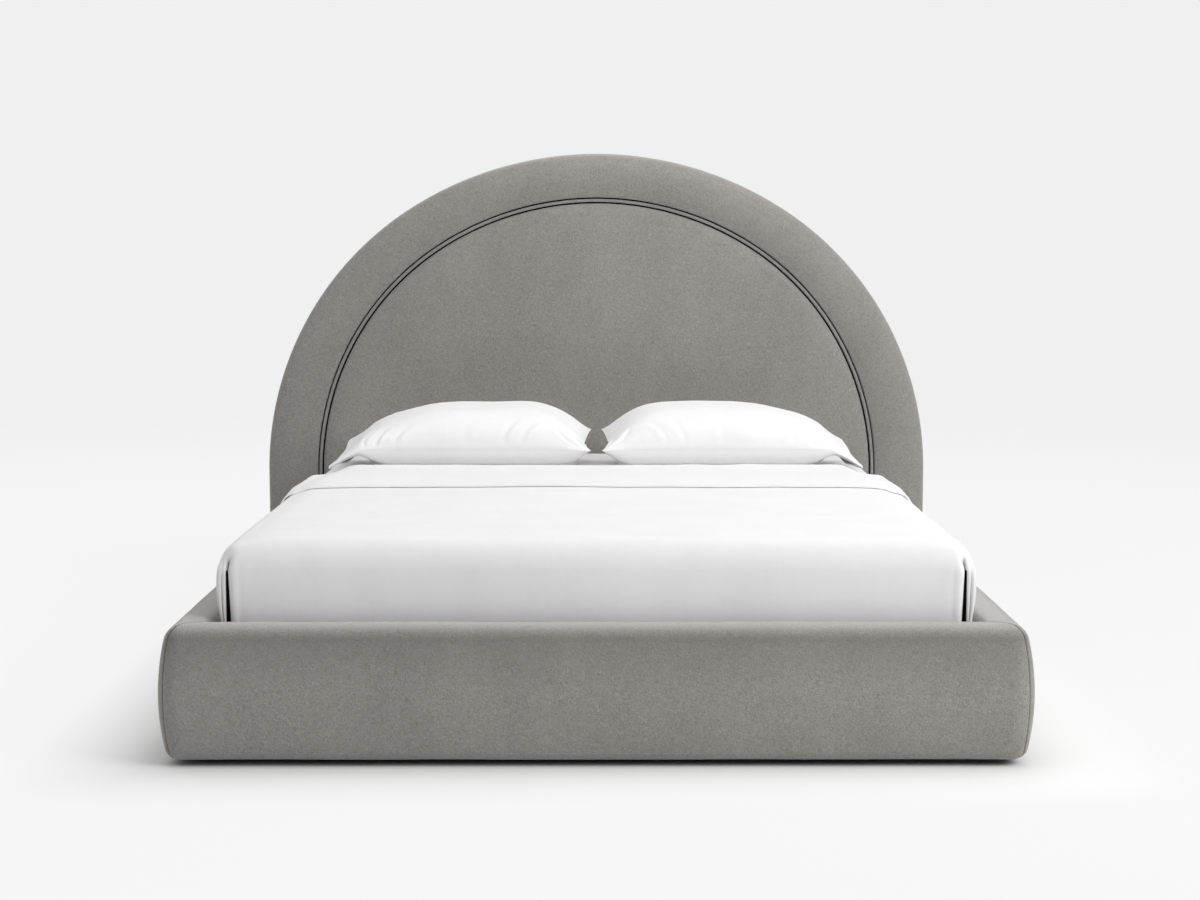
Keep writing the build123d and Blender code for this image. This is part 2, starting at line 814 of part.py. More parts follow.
def hem_slice(x, front, back, half):
    """A thin upright slice of the hem between its front and rear edges."""
    outline = Polyline(
        (front[0], front[1] - half),
        (back[0], back[1] - half),
        (back[0], back[1] + half),
        (front[0], front[1] + half),
        (front[0], front[1] - half),
    )
    return Plane((x, 0, 0), x_dir=(0, 1, 0), z_dir=(1, 0, 0)) * make_face(outline)


def build_pillows():
    base = mattress_top + 2 * seat_clearance + sheet_thickness
    front = coverlet_end + pillow_front_gap
    back = front + pillow_depth
    inner = pillow_parting / 2
    outer = inner + pillow_width
    across_places = (inner - overrun, (inner + outer) / 2, outer + overrun)
    along_places = (front - overrun, (front + back) / 2, back + overrun)
    draw_shares = (0.0, 1.0, 0.0)
    across = []
    for x, share in zip(across_places, draw_shares):
        draw = share * pillow_side_draw
        profile = pillow_profile(front + draw, back - draw, pillow_side_rise, base)
        across.append(Plane((x, 0, 0), x_dir=(0, 1, 0), z_dir=(1, 0, 0)) * profile)
    along = []
    for y, share in zip(along_places, draw_shares):
        draw = share * pillow_end_draw
        profile = pillow_profile(inner + draw, outer - draw, pillow_end_rise, base - pillow_end_drop)
        along.append(Plane((0, y, 0), x_dir=(1, 0, 0), z_dir=(0, -1, 0)) * profile)
    pillow = (loft(across) & loft(along)) + pillow_hem(outer, front, back, base)
    parts["pillow_right"] = pillow
    parts["pillow_left"] = left_of(pillow)


def main():
    os.makedirs("parts", exist_ok=True)
    build_headboard()
    build_rails()
    build_bolts()
    build_feet()
    build_deck()
    build_bedding()
    build_pillows()
    for name, shape in parts.items():
        export_step(shape, f"parts/{name}.step")
        print(name, len(shape.solids()))


main()
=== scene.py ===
# %% [markdown]
# An upholstered bed with a half-round headboard
#
# This scene dresses a bed that already exists as a measured frame. The timber, steel and plastic inside
# it are right as they are and only need a finish. Everything soft is made again here as a mesh: padded
# rails, a padded headboard, a mattress, a made-up cover and two pillows.
# All sizes are metres. X runs across the bed, Y from the foot to the head, Z up.

# %% Load the frame
import json
from math import atan2, cos, exp, hypot, pi, radians, sin, sqrt

import bmesh
import bpy
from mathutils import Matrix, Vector, noise

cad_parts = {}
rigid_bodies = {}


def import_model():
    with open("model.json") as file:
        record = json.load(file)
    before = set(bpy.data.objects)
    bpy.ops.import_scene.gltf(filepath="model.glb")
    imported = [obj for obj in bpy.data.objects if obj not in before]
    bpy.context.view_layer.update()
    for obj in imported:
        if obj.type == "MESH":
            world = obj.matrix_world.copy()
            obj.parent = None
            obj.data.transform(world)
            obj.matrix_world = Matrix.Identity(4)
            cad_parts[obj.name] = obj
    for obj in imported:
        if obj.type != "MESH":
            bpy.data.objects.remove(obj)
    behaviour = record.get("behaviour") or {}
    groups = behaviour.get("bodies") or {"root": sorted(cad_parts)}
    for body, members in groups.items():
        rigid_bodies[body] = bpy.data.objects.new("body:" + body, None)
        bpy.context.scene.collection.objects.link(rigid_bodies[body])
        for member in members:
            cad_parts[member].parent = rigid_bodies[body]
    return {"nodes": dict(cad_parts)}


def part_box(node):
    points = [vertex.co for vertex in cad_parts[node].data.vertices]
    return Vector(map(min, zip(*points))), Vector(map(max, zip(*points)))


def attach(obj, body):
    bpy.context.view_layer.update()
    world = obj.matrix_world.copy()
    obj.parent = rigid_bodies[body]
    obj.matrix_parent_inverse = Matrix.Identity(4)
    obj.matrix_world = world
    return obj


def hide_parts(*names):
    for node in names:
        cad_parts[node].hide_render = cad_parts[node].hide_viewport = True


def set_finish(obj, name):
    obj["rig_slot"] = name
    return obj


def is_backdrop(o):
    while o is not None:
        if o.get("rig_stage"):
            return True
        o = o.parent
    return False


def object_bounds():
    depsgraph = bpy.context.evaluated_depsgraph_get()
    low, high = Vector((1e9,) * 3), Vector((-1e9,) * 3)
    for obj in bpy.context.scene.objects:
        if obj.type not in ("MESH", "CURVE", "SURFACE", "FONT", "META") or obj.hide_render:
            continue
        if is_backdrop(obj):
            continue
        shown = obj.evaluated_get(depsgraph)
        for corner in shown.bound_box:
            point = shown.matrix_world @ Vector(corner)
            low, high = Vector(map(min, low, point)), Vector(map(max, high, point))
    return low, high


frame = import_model()
cad_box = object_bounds()
nodes = frame["nodes"]
print("loaded", len(nodes), "pieces of the frame")

# %% [markdown]
# The soft pieces have to land exactly on the frame, so their main sizes are read from the boxes of the
# frame's own pieces. Only what a box can't tell, such as the radius of an arch, is written out.

# %% Sizes read from the frame
cover_low, cover_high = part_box("rail_cover_right")
board_low, board_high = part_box("rail_board_right")
border_low, border_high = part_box("headboard_border_pad")
mattress_low, mattress_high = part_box("mattress")
coverlet_low, coverlet_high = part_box("coverlet")
turndown_low, turndown_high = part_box("turned_down_sheet")
panel_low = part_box("headboard_panel")[0]

rail_inner = cover_low.x
rail_outer = cover_high.x
rail_thickness = rail_outer - rail_inner
rail_bottom = cover_low.z
rail_top = cover_high.z
foot_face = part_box("rail_cover_foot")[0].y
foot_inner = foot_face + rail_thickness
head_end = cover_high.y
back_face = border_high.y
arch_half = border_high.x
print(f"rails {rail_thickness:.3f} thick, headboard {2 * arch_half:.3f} wide")

# %% [markdown]
# Every soft piece here is a grid of points joined by faces. One helper makes the mesh, smooths its
# shading, hangs it on a body of the frame and says which pieces of the frame it stands for.

# %% Make a mesh and put it on the frame
weld_distance = 0.00002


def dress(name, mesh_data, slot, body, stands_for):
    """A new piece from a bmesh: smooth, riding on a body, with a finish slot."""
    mesh = bpy.data.meshes.new(name)
    bmesh.ops.remove_doubles(mesh_data, verts=mesh_data.verts, dist=weld_distance)
    bmesh.ops.recalc_face_normals(mesh_data, faces=mesh_data.faces)
    mesh_data.to_mesh(mesh)
    mesh_data.free()
    for face in mesh.polygons:
        face.use_smooth = True
    piece = bpy.data.objects.new(name, mesh)
    bpy.context.scene.collection.objects.link(piece)
    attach(piece, body)
    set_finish(piece, slot)
    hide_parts(*stands_for)
    print(f"{name}: {len(mesh.vertices)} points")
    return piece


def join_rows(mesh_data, made, close_rows=False, close_columns=False):
    """Adds the faces between rows of vertices."""
    for r in range(len(made) if close_rows else len(made) - 1):
        here = made[r]
        there = made[(r + 1) % len(made)]
        for c in range(len(here) if close_columns else len(here) - 1):
            d = (c + 1) % len(here)
            mesh_data.faces.new((here[c], here[d], there[d], there[c]))


def add_grid(mesh_data, rows, close_rows=False, close_columns=False):
    """Adds rows of points and the faces between them. Returns the rows of new vertices."""
    made = [[mesh_data.verts.new(point) for point in row] for row in rows]
    join_rows(mesh_data, made, close_rows, close_columns)
    return made


def on_side(rows, side):
    """The same rows of points, mirrored to the left when side is -1."""
    return [[(side * x, y, z) for x, y, z in row] for row in rows]


def soft_noise(point, size, seed):
    """Smooth random value from about -1 to 1, whose bumps are about size across."""
    return noise.noise(Vector(point) / size + Vector((seed, seed * 1.7, -seed)))


def clamped(value, high=1.0):
    """The value, or the nearer end of the stretch from 0 to high."""
    return min(high, max(0.0, value))


def ease(value):
    """0 below 0, 1 above 1, and a smooth step between."""
    value = clamped(value)
    return value * value * (3 - 2 * value)


def round_over(share):
    """A quarter of a circle: 0 at 0, rising steeply, and 1 from 1 on."""
    return sqrt(max(0.0, 1 - (1 - min(1.0, share)) ** 2))


# %% [markdown]
# A padded section is drawn as corners, each with the radius that foam and fabric give it. Rounding the
# corners in code keeps the drawing as short as an upholsterer's sketch: a few corners and their softness.

# %% Round the corners of a drawn section


def rounded(corners, steps):
    """A closed outline from corners (a, b, radius), with each corner turned into an arc."""
    outline = []
    count = len(corners)
    for index, (a, b, radius) in enumerate(corners):
        here = Vector((a, b))
        if radius == 0:
            outline.append(here)
            continue
        before = (Vector(corners[index - 1][:2]) - here).normalized()
        after = (Vector(corners[(index + 1) % count][:2]) - here).normalized()
        half_angle = before.angle(after) / 2
        middle = here + (before + after).normalized() * (radius / sin(half_angle))
        reach = radius / (sin(half_angle) / cos(half_angle))
        start = here + before * reach - middle
        end = here + after * reach - middle
        for step in range(steps + 1):
            mixed = start.lerp(end, step / steps)
            outline.append(middle + mixed.normalized() * radius)
    return outline


def spaced(outline, longest):
    """The same closed outline with points added so that no stretch is longer than asked."""
    result = []
    for index, point in enumerate(outline):
        following = outline[(index + 1) % len(outline)]
        pieces = max(1, int((following - point).length / longest + 0.999))
        result += [point.lerp(following, step / pieces) for step in range(pieces)]
    return result


def outward_normals(outline):
    """The outward direction at each point of a closed outline."""
    area = sum(p.x * q.y - q.x * p.y for p, q in zip(outline, outline[1:] + outline[:1]))
    turn = 1 if area > 0 else -1
    normals = []
    for index, point in enumerate(outline):
        along = outline[(index + 1) % len(outline)] - outline[index - 1]
        normals.append(Vector((along.y, -along.x)).normalized() * turn)
    return normals


# %% [markdown]
# The rails are boards wrapped in foam and fabric. Seen from the end they have a slow belly outside, a
# soft roll at the top and a lip that folds down inside. The outline is closed round the board. Under it a
# tape of black cloth hides the raw edges and also darkens the gap under the rail, partly as painted
# shade, and on the inner side the bare board still shows.

# %% The rails' section
belly_height = 0.14
belly_radius = 0.5
lip_bottom = 0.19
board_inset = 0.012
board_outer = 0.057
tape_start = board_inset + 0.0005
top_roll = 0.042
inner_fall = 0.004
inner_roll = 0.024
underside_sag = 0.002
bottom_roll = 0.026
belly_centre = rail_thickness - belly_radius
point_spacing = 0.009


def arc(centre_a, centre_b, radius, start, end, steps):
    """Points of an arc, from one angle to another."""
    angles = [start + (end - start) * step / steps for step in range(steps + 1)]
    return [Vector((centre_a + radius * cos(angle), centre_b + radius * sin(angle))) for angle in angles]


def outside_face(grow=0.0):
    """The outside of a rail, from its underside round the belly to its top, grown by a little."""
    low = rail_bottom - underside_sag + bottom_roll
    high = rail_top - top_roll
    low_out = belly_centre + sqrt((belly_radius - bottom_roll) ** 2 - (low - belly_height) ** 2)
    high_out = belly_centre + sqrt((belly_radius - top_roll) ** 2 - (high - belly_height) ** 2)
    low_turn = atan2(low - belly_height, low_out - belly_centre)
    high_turn = atan2(high - belly_height, high_out - belly_centre)
    points = arc(low_out, low, bottom_roll + grow, -pi / 2, low_turn, 9)
    points += arc(belly_centre, belly_height, belly_radius + grow, low_turn, high_turn, 24)[1:]
    return points + arc(high_out, high, top_roll + grow, high_turn, pi / 2, 12)[1:]


def rail_section():
    """The closed outline of a rail's padding, as (distance from the rail's inside, height)."""
    inside = [(0, rail_top - inner_fall, inner_roll), (0, lip_bottom, 0.002)]
    inside += [(board_inset, lip_bottom, 0), (board_inset, board_high.z, 0), (board_outer, board_high.z, 0)]
    inside += [(board_outer, board_low.z, 0), (tape_start, board_low.z, 0), (tape_start, rail_bottom, 0)]
    outside = outside_face()
    end = (outside[-1].x, outside[-1].y, 0)
    return spaced(outside[:-1] + rounded([end] + inside, 9), point_spacing)


# %% [markdown]
# At the foot the fabric turns the corner on a 52 mm radius and is seamed on the mitre. Each rail is swept
# up to that seam. A shallow valley along the mitre, only a few millimetres wide, is what makes the seam
# catch the light.

# %% Sweep the rails up to their mitre seams
corner_radius = 0.052
seam_depth = 0.0034
seam_reach = 0.0017
station_spacing = 0.03
half_corner_steps = 12
straight_offset = rail_thickness - corner_radius


def mitre_stations(straight_length):
    """Shares along the straight stretch, close together near the mitre, then angles round the corner."""
    steps = int(straight_length / station_spacing)
    near_mitre = (0.02, 0.013, 0.009, 0.006, 0.004, 0.0025, 0.0012)
    near = [1 - distance / straight_length for distance in near_mitre]
    shares = [step / steps for step in range(steps) if step / steps < near[0] - 0.005]
    turned = [step / half_corner_steps for step in range(1, half_corner_steps + 1)]
    return shares + near + [1.0], [radians(45) * (1 - (1 - share) ** 1.6) for share in turned]


def corner_place(offset, angle):
    """Where a point of the section stands past the straight stretch, on the foot's side of the mitre."""
    radius = max(0.0, offset - straight_offset)
    if radius == 0:
        return rail_inner + offset, foot_inner - offset
    x = rail_inner + straight_offset + radius * sin(angle)
    y = foot_inner - straight_offset - radius * cos(angle)
    return x, y


def rail_wave(point):
    """The slight unevenness of fabric pulled over foam."""
    return 0.0009 * soft_noise(point, 0.24, 3.1) + 0.0004 * soft_noise(point, 0.07, 7.7)


section = rail_section()
normals = outward_normals(section)


def rail_row(place_of, station, out_x, out_y):
    """One row of the section, drawn in at the seam; place_of gives (x, y) at a distance from the inside."""
    row = []
    for point, normal in zip(section, normals):
        x, y = place_of(point.x, station)
        from_mitre = abs((abs(x) - rail_inner) - (foot_inner - y)) / sqrt(2)
        pull = seam_depth * exp(-((from_mitre / seam_reach) ** 2))
        move = rail_wave((x, y, point.y)) - pull
        out = move * normal.x
        row.append((x + out * out_x, y + out * out_y, point.y + move * normal.y))
    return row


def along_foot(offset, share):
    """A place on the straight stretch of the foot, from its middle to the corner."""
    return share * (rail_inner + min(offset, straight_offset)), foot_inner - offset


def along_side(offset, share):
    """A place on the straight stretch of a side, from the headboard to the corner."""
    start = foot_inner - min(offset, straight_offset)
    return rail_inner + offset, head_end + share * (start - head_end)


def past_mitre(offset, angle):
    """The side's half of the corner, a mirror image of the foot's half."""
    x, y = corner_place(offset, angle)
    return rail_inner + foot_inner - y, foot_inner - (x - rail_inner)


def foot_rail_rows():
    """Rows of points from the left mitre to the right one."""
    shares, angles = mitre_stations(rail_inner)
    right = [rail_row(along_foot, share, 0, -1) for share in shares]
    right += [rail_row(corner_place, angle, sin(angle), -cos(angle)) for angle in angles]
    return on_side(reversed(right[1:]), -1) + right


def side_rail_rows():
    """Rows of points from the mitre to the headboard, for the right-hand rail."""
    shares, angles = mitre_stations(head_end - foot_inner)
    rows = [rail_row(past_mitre, angle, cos(angle), -sin(angle)) for angle in reversed(angles)]
    return rows + [rail_row(along_side, share, 1, 0) for share in reversed(shares)]


def swept(rows):
    """A closed tube of rows with a flat cap at each end."""
    mesh_data = bmesh.new()
    made = add_grid(mesh_data, rows, close_columns=True)
    mesh_data.faces.new(made[0])
    mesh_data.faces.new(list(reversed(made[-1])))
    return mesh_data


side_rows = side_rail_rows()
rail_paddings = []
for side, rows in (("foot", foot_rail_rows()), ("right", side_rows), ("left", on_side(side_rows, -1))):
    inside = ("rail_cover_" + side, "rail_foam_" + side)
    rail_paddings.append(dress(side + "_rail_padding", swept(rows), "upholstery", "bed_frame", inside))

# %% [markdown]
# The headboard's arch is drawn with three arcs, as a joiner would set it out: two shoulders and a flatter
# crown, on straight legs. A station on it is a place on the outer edge and the direction straight in from
# there, so that the border, the piping and the centre panel can all be laid out from the same edge.

# %% Stations round the arch
spring_height = 0.357
shoulder_offset = 0.055
crown_drop = 0.085
shoulder_radius = arch_half - shoulder_offset
crown_radius = shoulder_radius + hypot(shoulder_offset, crown_drop)
crown_centre = spring_height - crown_drop
crown_angle = atan2(shoulder_offset, crown_drop)


def arch_edge(angle, inset):
    """The point of the arch at an angle from the top, drawn in from the outer edge."""
    side = 1 if angle >= 0 else -1
    size = abs(angle)
    if size <= crown_angle:
        radius = crown_radius - inset
        return side * radius * sin(size), crown_centre + radius * cos(size)
    radius = shoulder_radius - inset
    return side * (shoulder_offset + radius * sin(size)), spring_height + radius * cos(size)


border_width = 0.131
border_widens = 0.02
edge_foam = 0.024


def true_inset(inset, angle):
    """The border is a little broader down its legs than at the top, and all inside it follows."""
    share = (inset - edge_foam) / (border_width - edge_foam)
    return inset + border_widens * sin(angle) ** 2 * clamped(share)


def arch_stations(bottom, leg_steps, arc_steps):
    """Stations from the right foot, over the top, to the left foot, as (leg height or None, angle)."""
    legs = [bottom + (spring_height - bottom) * step / leg_steps for step in range(leg_steps)]
    stations = [(height, pi / 2) for height in legs]
    stations += [(None, pi / 2 - pi * step / arc_steps) for step in range(arc_steps + 1)]
    stations += [(height, -pi / 2) for height in reversed(legs)]
    return stations


def arch_point(station, inset):
    """(x, z) of a station, drawn in from the outer edge."""
    height, angle = station
    inset = true_inset(inset, angle)
    if height is None:
        return arch_edge(angle, inset)
    side = 1 if angle > 0 else -1
    return side * (arch_half - inset), height


# %% [markdown]
# The border is a broad padded roll. Its front is crowned over its whole width, its outer edge wraps to the
# back, and its inner edge drops steeply beside the piping. The ends of the rails are let into its legs, so
# the same rail shape, a hair larger, is cut out of it.

# %% The headboard's border
frame_front = back_face - panel_low.y
pad_front = back_face - border_low.y
border_crown = 0.017
edge_bulge = 0.003
outer_roll = 0.034
arch_steps = 220
rear_roll = 0.012


def border_section():
    """Corners as (distance in from the edge, distance forward from the back)."""
    corners = [(edge_foam, 0, 0), (edge_bulge, 0, rear_roll), (0, pad_front * 0.45, 0)]
    corners.append((edge_bulge * 0.6, pad_front - border_crown, outer_roll))
    for share in (0.3, 0.42, 0.54, 0.66, 0.78, 0.9):
        corners.append((border_width * share, pad_front - border_crown * (2 * share - 1) ** 2, 0))
    corners += [(border_width, pad_front - border_crown, 0.004), (border_width, frame_front, 0)]
    corners.append((edge_foam, frame_front, 0))
    return spaced(rounded(corners, 8), point_spacing)


def arch_sweep(outline, stations, wave=0.0, seed=0.0):
    """Rows of points of an outline carried round the arch, with a soft unevenness in front."""
    rows = []
    for station in stations:
        row = []
        for point in outline:
            x, z = arch_point(station, point.x)
            ripple = wave * soft_noise((x, point.y, z), 0.16, seed)
            row.append((x, back_face - point.y - ripple * ease(point.y / pad_front), z))
        rows.append(row)
    return rows


def cut_away(piece, cutter_mesh):
    """Takes a closed cutter out of a piece, for good."""
    mesh = bpy.data.meshes.new("cutter")
    bmesh.ops.recalc_face_normals(cutter_mesh, faces=cutter_mesh.faces)
    cutter_mesh.to_mesh(mesh)
    cutter_mesh.free()
    cutter = bpy.data.objects.new("cutter", mesh)
    bpy.context.scene.collection.objects.link(cutter)
    modifier = piece.modifiers.new("cut", "BOOLEAN")
    modifier.object = cutter
    modifier.operation = "DIFFERENCE"
    modifier.solver = "EXACT"
    graph = bpy.context.evaluated_depsgraph_get()
    result = bpy.data.meshes.new_from_object(piece.evaluated_get(graph))
    piece.modifiers.clear()
    piece.data = result
    bpy.data.objects.remove(cutter)


def rail_end_cutter(side):
    """The whole rail's form, a hair larger, from in front of the border to the rail's end."""
    hair = 0.0006
    beyond = 0.02
    outside = outside_face(hair)
    inside = [(outside[-1].x, outside[-1].y, 0), (-hair, rail_top - inner_fall + hair, inner_roll)]
    inside += [(-hair, rail_bottom - beyond, 0), (outside[0].x, rail_bottom - beyond, 0)]
    outline = outside[:-1] + rounded(inside, 8)
    rows = []
    for y in (back_face - pad_front - beyond, head_end + 0.0002):
        rows.append([(rail_inner + point.x, y, point.y) for point in outline])
    return swept(on_side(rows, side))


border_stations = arch_stations(border_low.z, 26, arch_steps)
border_rows = arch_sweep(border_section(), border_stations, wave=0.0016, seed=5.0)
border = dress("headboard_border", swept(border_rows), "upholstery", "bed_frame", ("headboard_border_pad",))
for side in (1, -1):
    cut_away(border, rail_end_cutter(side))
for face in border.data.polygons:
    face.use_smooth = True

# %% [markdown]
# Between the border and the centre runs one piped cord, set a little back, with a groove on each
# side. The cord is pressed between two pads, so it is flatter than a circle. It is sewn into a folded
# strip of cloth that closes the bottom of the two grooves; that strip is given black cloth as painted
# shade, which is what makes the grooves dark.

# %% The piping
groove = 0.0040
cord_half = 0.0047
cord_recess = 0.0028
cord_clearance = 0.0002


def piping_section():
    """The flattened cord, and the folded strip that it is sewn into."""
    middle = border_width + groove + cord_half + cord_clearance
    front = pad_front - border_crown - cord_recess
    outline = []
    for step in range(15):
        angle = radians(-50 + 280 * step / 14)
        across = cord_half * abs(cos(angle)) ** 0.75 * (1 if cos(angle) > 0 else -1)
        forward = cord_half * abs(sin(angle)) ** 0.75 * (1 if sin(angle) > 0 else -1)
        outline.append(Vector((middle + across, front - cord_half + forward)))
    half = groove + cord_half
    strip = [(-0.0022, 0.016), (-half, 0.013), (-half, 0.0004)]
    strip += [(-across, forward) for across, forward in reversed(strip)]
    return outline + [Vector((middle + across, frame_front + forward)) for across, forward in strip]


piping_rows = arch_sweep(piping_section(), arch_stations(rail_top + 0.001, 12, arch_steps))
piping = dress("headboard_piping", swept(piping_rows), "upholstery", "bed_frame", ("headboard_welt",))

# %% [markdown]
# The centre is one large pad, crowned at its edge and nearly flat in the middle. Its rings follow the arch
# exactly near the edge, where the fabric curves into the groove, and then shrink towards a middle point.

# %% The centre panel
centre_inset = border_width + 2 * (groove + cord_half + cord_clearance)
centre_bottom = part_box("headboard_centre_pad")[0].z
centre_edge_insets = (0, 0.0004, 0.0015, 0.0035, 0.007, 0.012, 0.02, 0.032, 0.048, 0.068, 0.09)
centre_edge = centre_edge_insets[-1]
centre_edge_radius = 0.0045
centre_rise = 0.012
centre_heart = (0.0, 0.55)
centre_rings = 24


def centre_depth(inset, x, z):
    """How far the pad stands forward of the panel, at a distance in from its own edge."""
    edge = 1 - ease(inset / centre_edge) if inset > 0.012 else 1
    sharp = round_over(inset / centre_edge_radius)
    height = pad_front - border_crown - frame_front - 0.002
    crown = centre_rise * (1 - edge) + centre_rise * 0.55 * edge * min(1.0, inset / 0.02)
    unevenness = 0.0014 * soft_noise((x, 0, z), 0.28, 9.0) + 0.0006 * soft_noise((x, 0, z), 0.09, 2.0)
    return height * (0.55 + 0.45 * sharp) + (crown + unevenness * ease(inset / 0.03)) * sharp


def arch_ring(stations, inset, low, steps):
    """One ring of (x, z) along the arch and back along a bottom edge."""
    ring = [arch_point(station, inset) for station in stations]
    ring = [(x, max(z, low)) for x, z in ring]
    right, left = ring[0], ring[-1]
    return ring + [(left[0] + (right[0] - left[0]) * step / steps, low) for step in range(1, steps)]


def shrunk(ring, heart, share):
    """A ring drawn in towards a middle point."""
    return [(heart[0] + (x - heart[0]) * share, heart[1] + (z - heart[1]) * share) for x, z in ring]


def centre_panel():
    """Rings from the pad's edge to its middle, closed by a flat back."""
    stations = arch_stations(centre_bottom + 0.0001, 12, 160)
    shapes = []
    for inset in centre_edge_insets:
        shapes.append((inset, arch_ring(stations, centre_inset + inset, centre_bottom + inset, 60)))
    last = shapes[-1][1]
    for step in range(1, centre_rings):
        share = 1 - step / centre_rings
        shapes.append((centre_edge + 0.4 * (1 - share), shrunk(last, centre_heart, share)))
    rings = [[(x, panel_low.y - centre_depth(inset, x, z), z) for x, z in ring] for inset, ring in shapes]
    back = [(x, panel_low.y, z) for x, y, z in rings[0]]
    mesh_data = bmesh.new()
    made = add_grid(mesh_data, [back] + rings, close_columns=True)
    mesh_data.faces.new(made[0])
    x, z = centre_heart
    middle = mesh_data.verts.new((x, panel_low.y - centre_depth(0.5, x, z), z))
    inner = made[-1]
    for index, vertex in enumerate(inner):
        mesh_data.faces.new((vertex, inner[(index + 1) % len(inner)], middle))
    return mesh_data


centre = dress("headboard_centre", centre_panel(), "upholstery", "bed_frame", ("headboard_centre_pad",))

# %% [markdown]
# The back of a headboard is closed with a thin black cloth stapled over the frame. It is never quite flat:
# it sinks a little between the timbers behind it.

# %% The cloth on the back
cloth_inset = 0.0245
cloth_thickness = 0.0028
cloth_sink = 0.0016
cloth_heart = (0.0, 0.62)


def back_cloth():
    """Two skins, each drawn in towards a middle point, joined round their edge."""
    outline = arch_ring(arch_stations(panel_low.z, 10, 120), cloth_inset, panel_low.z, 50)
    rings = []
    for share in (1, 0.99, 0.97, 0.94, 0.9, 0.85, 0.78, 0.7, 0.6, 0.5, 0.4, 0.3, 0.2, 0.1):
        ring = []
        for x, z in shrunk(outline, cloth_heart, share):
            sink = cloth_sink * ease((1 - share) / 0.1) * (1 + soft_noise((x, 0, z), 0.3, 4.0)) / 2
            ring.append((x, back_face - sink, z))
        rings.append(ring)
    front = [[(x, y - cloth_thickness + 0.0002, z) for x, y, z in ring] for ring in rings]
    return swept(list(reversed(front)) + rings)


back_nodes = ("headboard_back_cover",)
back_cover = dress("headboard_back_cloth", back_cloth(), "dust_cloth", "bed_frame", back_nodes)

# %% [markdown]
# All the bedding follows the mattress, so one drawing serves it all: a rectangle with rounded corners,
# and for each place round it the direction straight out. A layer is that drawing pushed out by the
# thickness of what lies under it, with a regular grid of points for its top.

# %% Places round the bed
plan_radius = 0.036
side_crown = 0.004
inner_x = mattress_high.x - plan_radius
inner_foot = mattress_low.y + plan_radius
inner_head = mattress_high.y - plan_radius
corner_steps = 30


def graded(start, end, coarse, fine, reach):
    """Values from start to end, close together near the end."""
    length = abs(end - start)
    toward = 1 if end > start else -1
    values, gone = [], 0.0
    while length - gone > reach + coarse:
        values.append(start + toward * gone)
        gone += coarse
    left = length - gone
    steps = max(1, round(left / fine))
    return values + [start + toward * (gone + left * step / steps) for step in range(steps + 1)]


def spread(start, end, spacing):
    """Values from start to end, evenly and about as far apart as asked."""
    steps = max(1, round(abs(end - start) / spacing))
    return [start + (end - start) * step / steps for step in range(steps + 1)]


def quarter(steps):
    """Angles of a quarter turn, in equal steps."""
    return [radians(90) * step / steps for step in range(steps + 1)]


def open_columns(end):
    """Places from the right-hand end, round the foot, to the left-hand end: (x, y, out x, out y)."""
    along = graded(end, inner_foot, 0.02, 0.007, 0.2)
    right = [(inner_x, y, 1.0, 0.0) for y in along[:-1]]
    right += [(inner_x, inner_foot, cos(turn), -sin(turn)) for turn in quarter(corner_steps)]
    across = spread(inner_x, -inner_x, 0.016)
    left = [(-x, y, -out_x, out_y) for x, y, out_x, out_y in reversed(right)]
    return right + [(x, inner_foot, 0.0, -1.0) for x in across[1:-1]] + left, across, along


def closed_columns(spacing, corner_count):
    """Places right round the mattress."""
    across = spread(inner_x, -inner_x, spacing)
    along = spread(inner_head, inner_foot, spacing)
    right = [(inner_x, inner_head, sin(turn), cos(turn)) for turn in quarter(corner_count)]
    right += [(inner_x, y, 1.0, 0.0) for y in along[1:-1]]
    right += [(inner_x, inner_foot, cos(turn), -sin(turn)) for turn in quarter(corner_count)]
    left = [(-x, y, -out_x, out_y) for x, y, out_x, out_y in reversed(right)]
    right += [(x, inner_foot, 0.0, -1.0) for x in across[1:-1]]
    head = [(x, inner_head, 0.0, 1.0) for x in reversed(across[1:-1])]
    return right + left + head, across, along


def place(column, out):
    """The point of a column at a distance out from the inner rectangle, or in from it when negative."""
    x, y, out_x, out_y = column
    if out >= 0:
        return x + out * out_x, y + out * out_y
    reach = inner_x + out
    return max(-reach, min(reach, x)), max(inner_foot - out, min(inner_head + out, y))


def side_out(height, growth):
    """How far a side stands out at a height, with the slight belly of a mattress."""
    middle = (mattress_low.z + mattress_high.z) / 2
    half = (mattress_high.z - mattress_low.z) / 2
    return plan_radius + growth - side_crown * min(1.0, abs(height - middle) / half) ** 2


def side_profile(growth, top, low, shoulder, steps):
    """(out, height) from the lower edge, up the side and over the shoulder to the flat of the top."""
    start = top - shoulder
    profile = []
    for step in range(steps):
        height = low + (start - low) * step / steps
        profile.append((side_out(height, growth), height))
    wide = side_out(start, growth)
    return profile + [(wide * cos(turn), start + shoulder * sin(turn)) for turn in quarter(12)]


def lower_edge(low, radius, growth):
    """(out, height) round the lower edge of a layer, from its underside up."""
    inner = side_out(low + radius, growth) - radius
    return [(inner + radius * sin(turn), low + radius * (1 - cos(turn))) for turn in quarter(6)]


# %% [markdown]
# The mattress is a plain foam one in a knitted cover, with a taped edge round its underside.
# It is hardly seen here, but a bed that someone strips or lifts has to have one.

# %% The mattress
mattress_shoulder = 0.035
mattress_lower_edge = 0.022
tape_relief = 0.0012
tape_height = 0.026


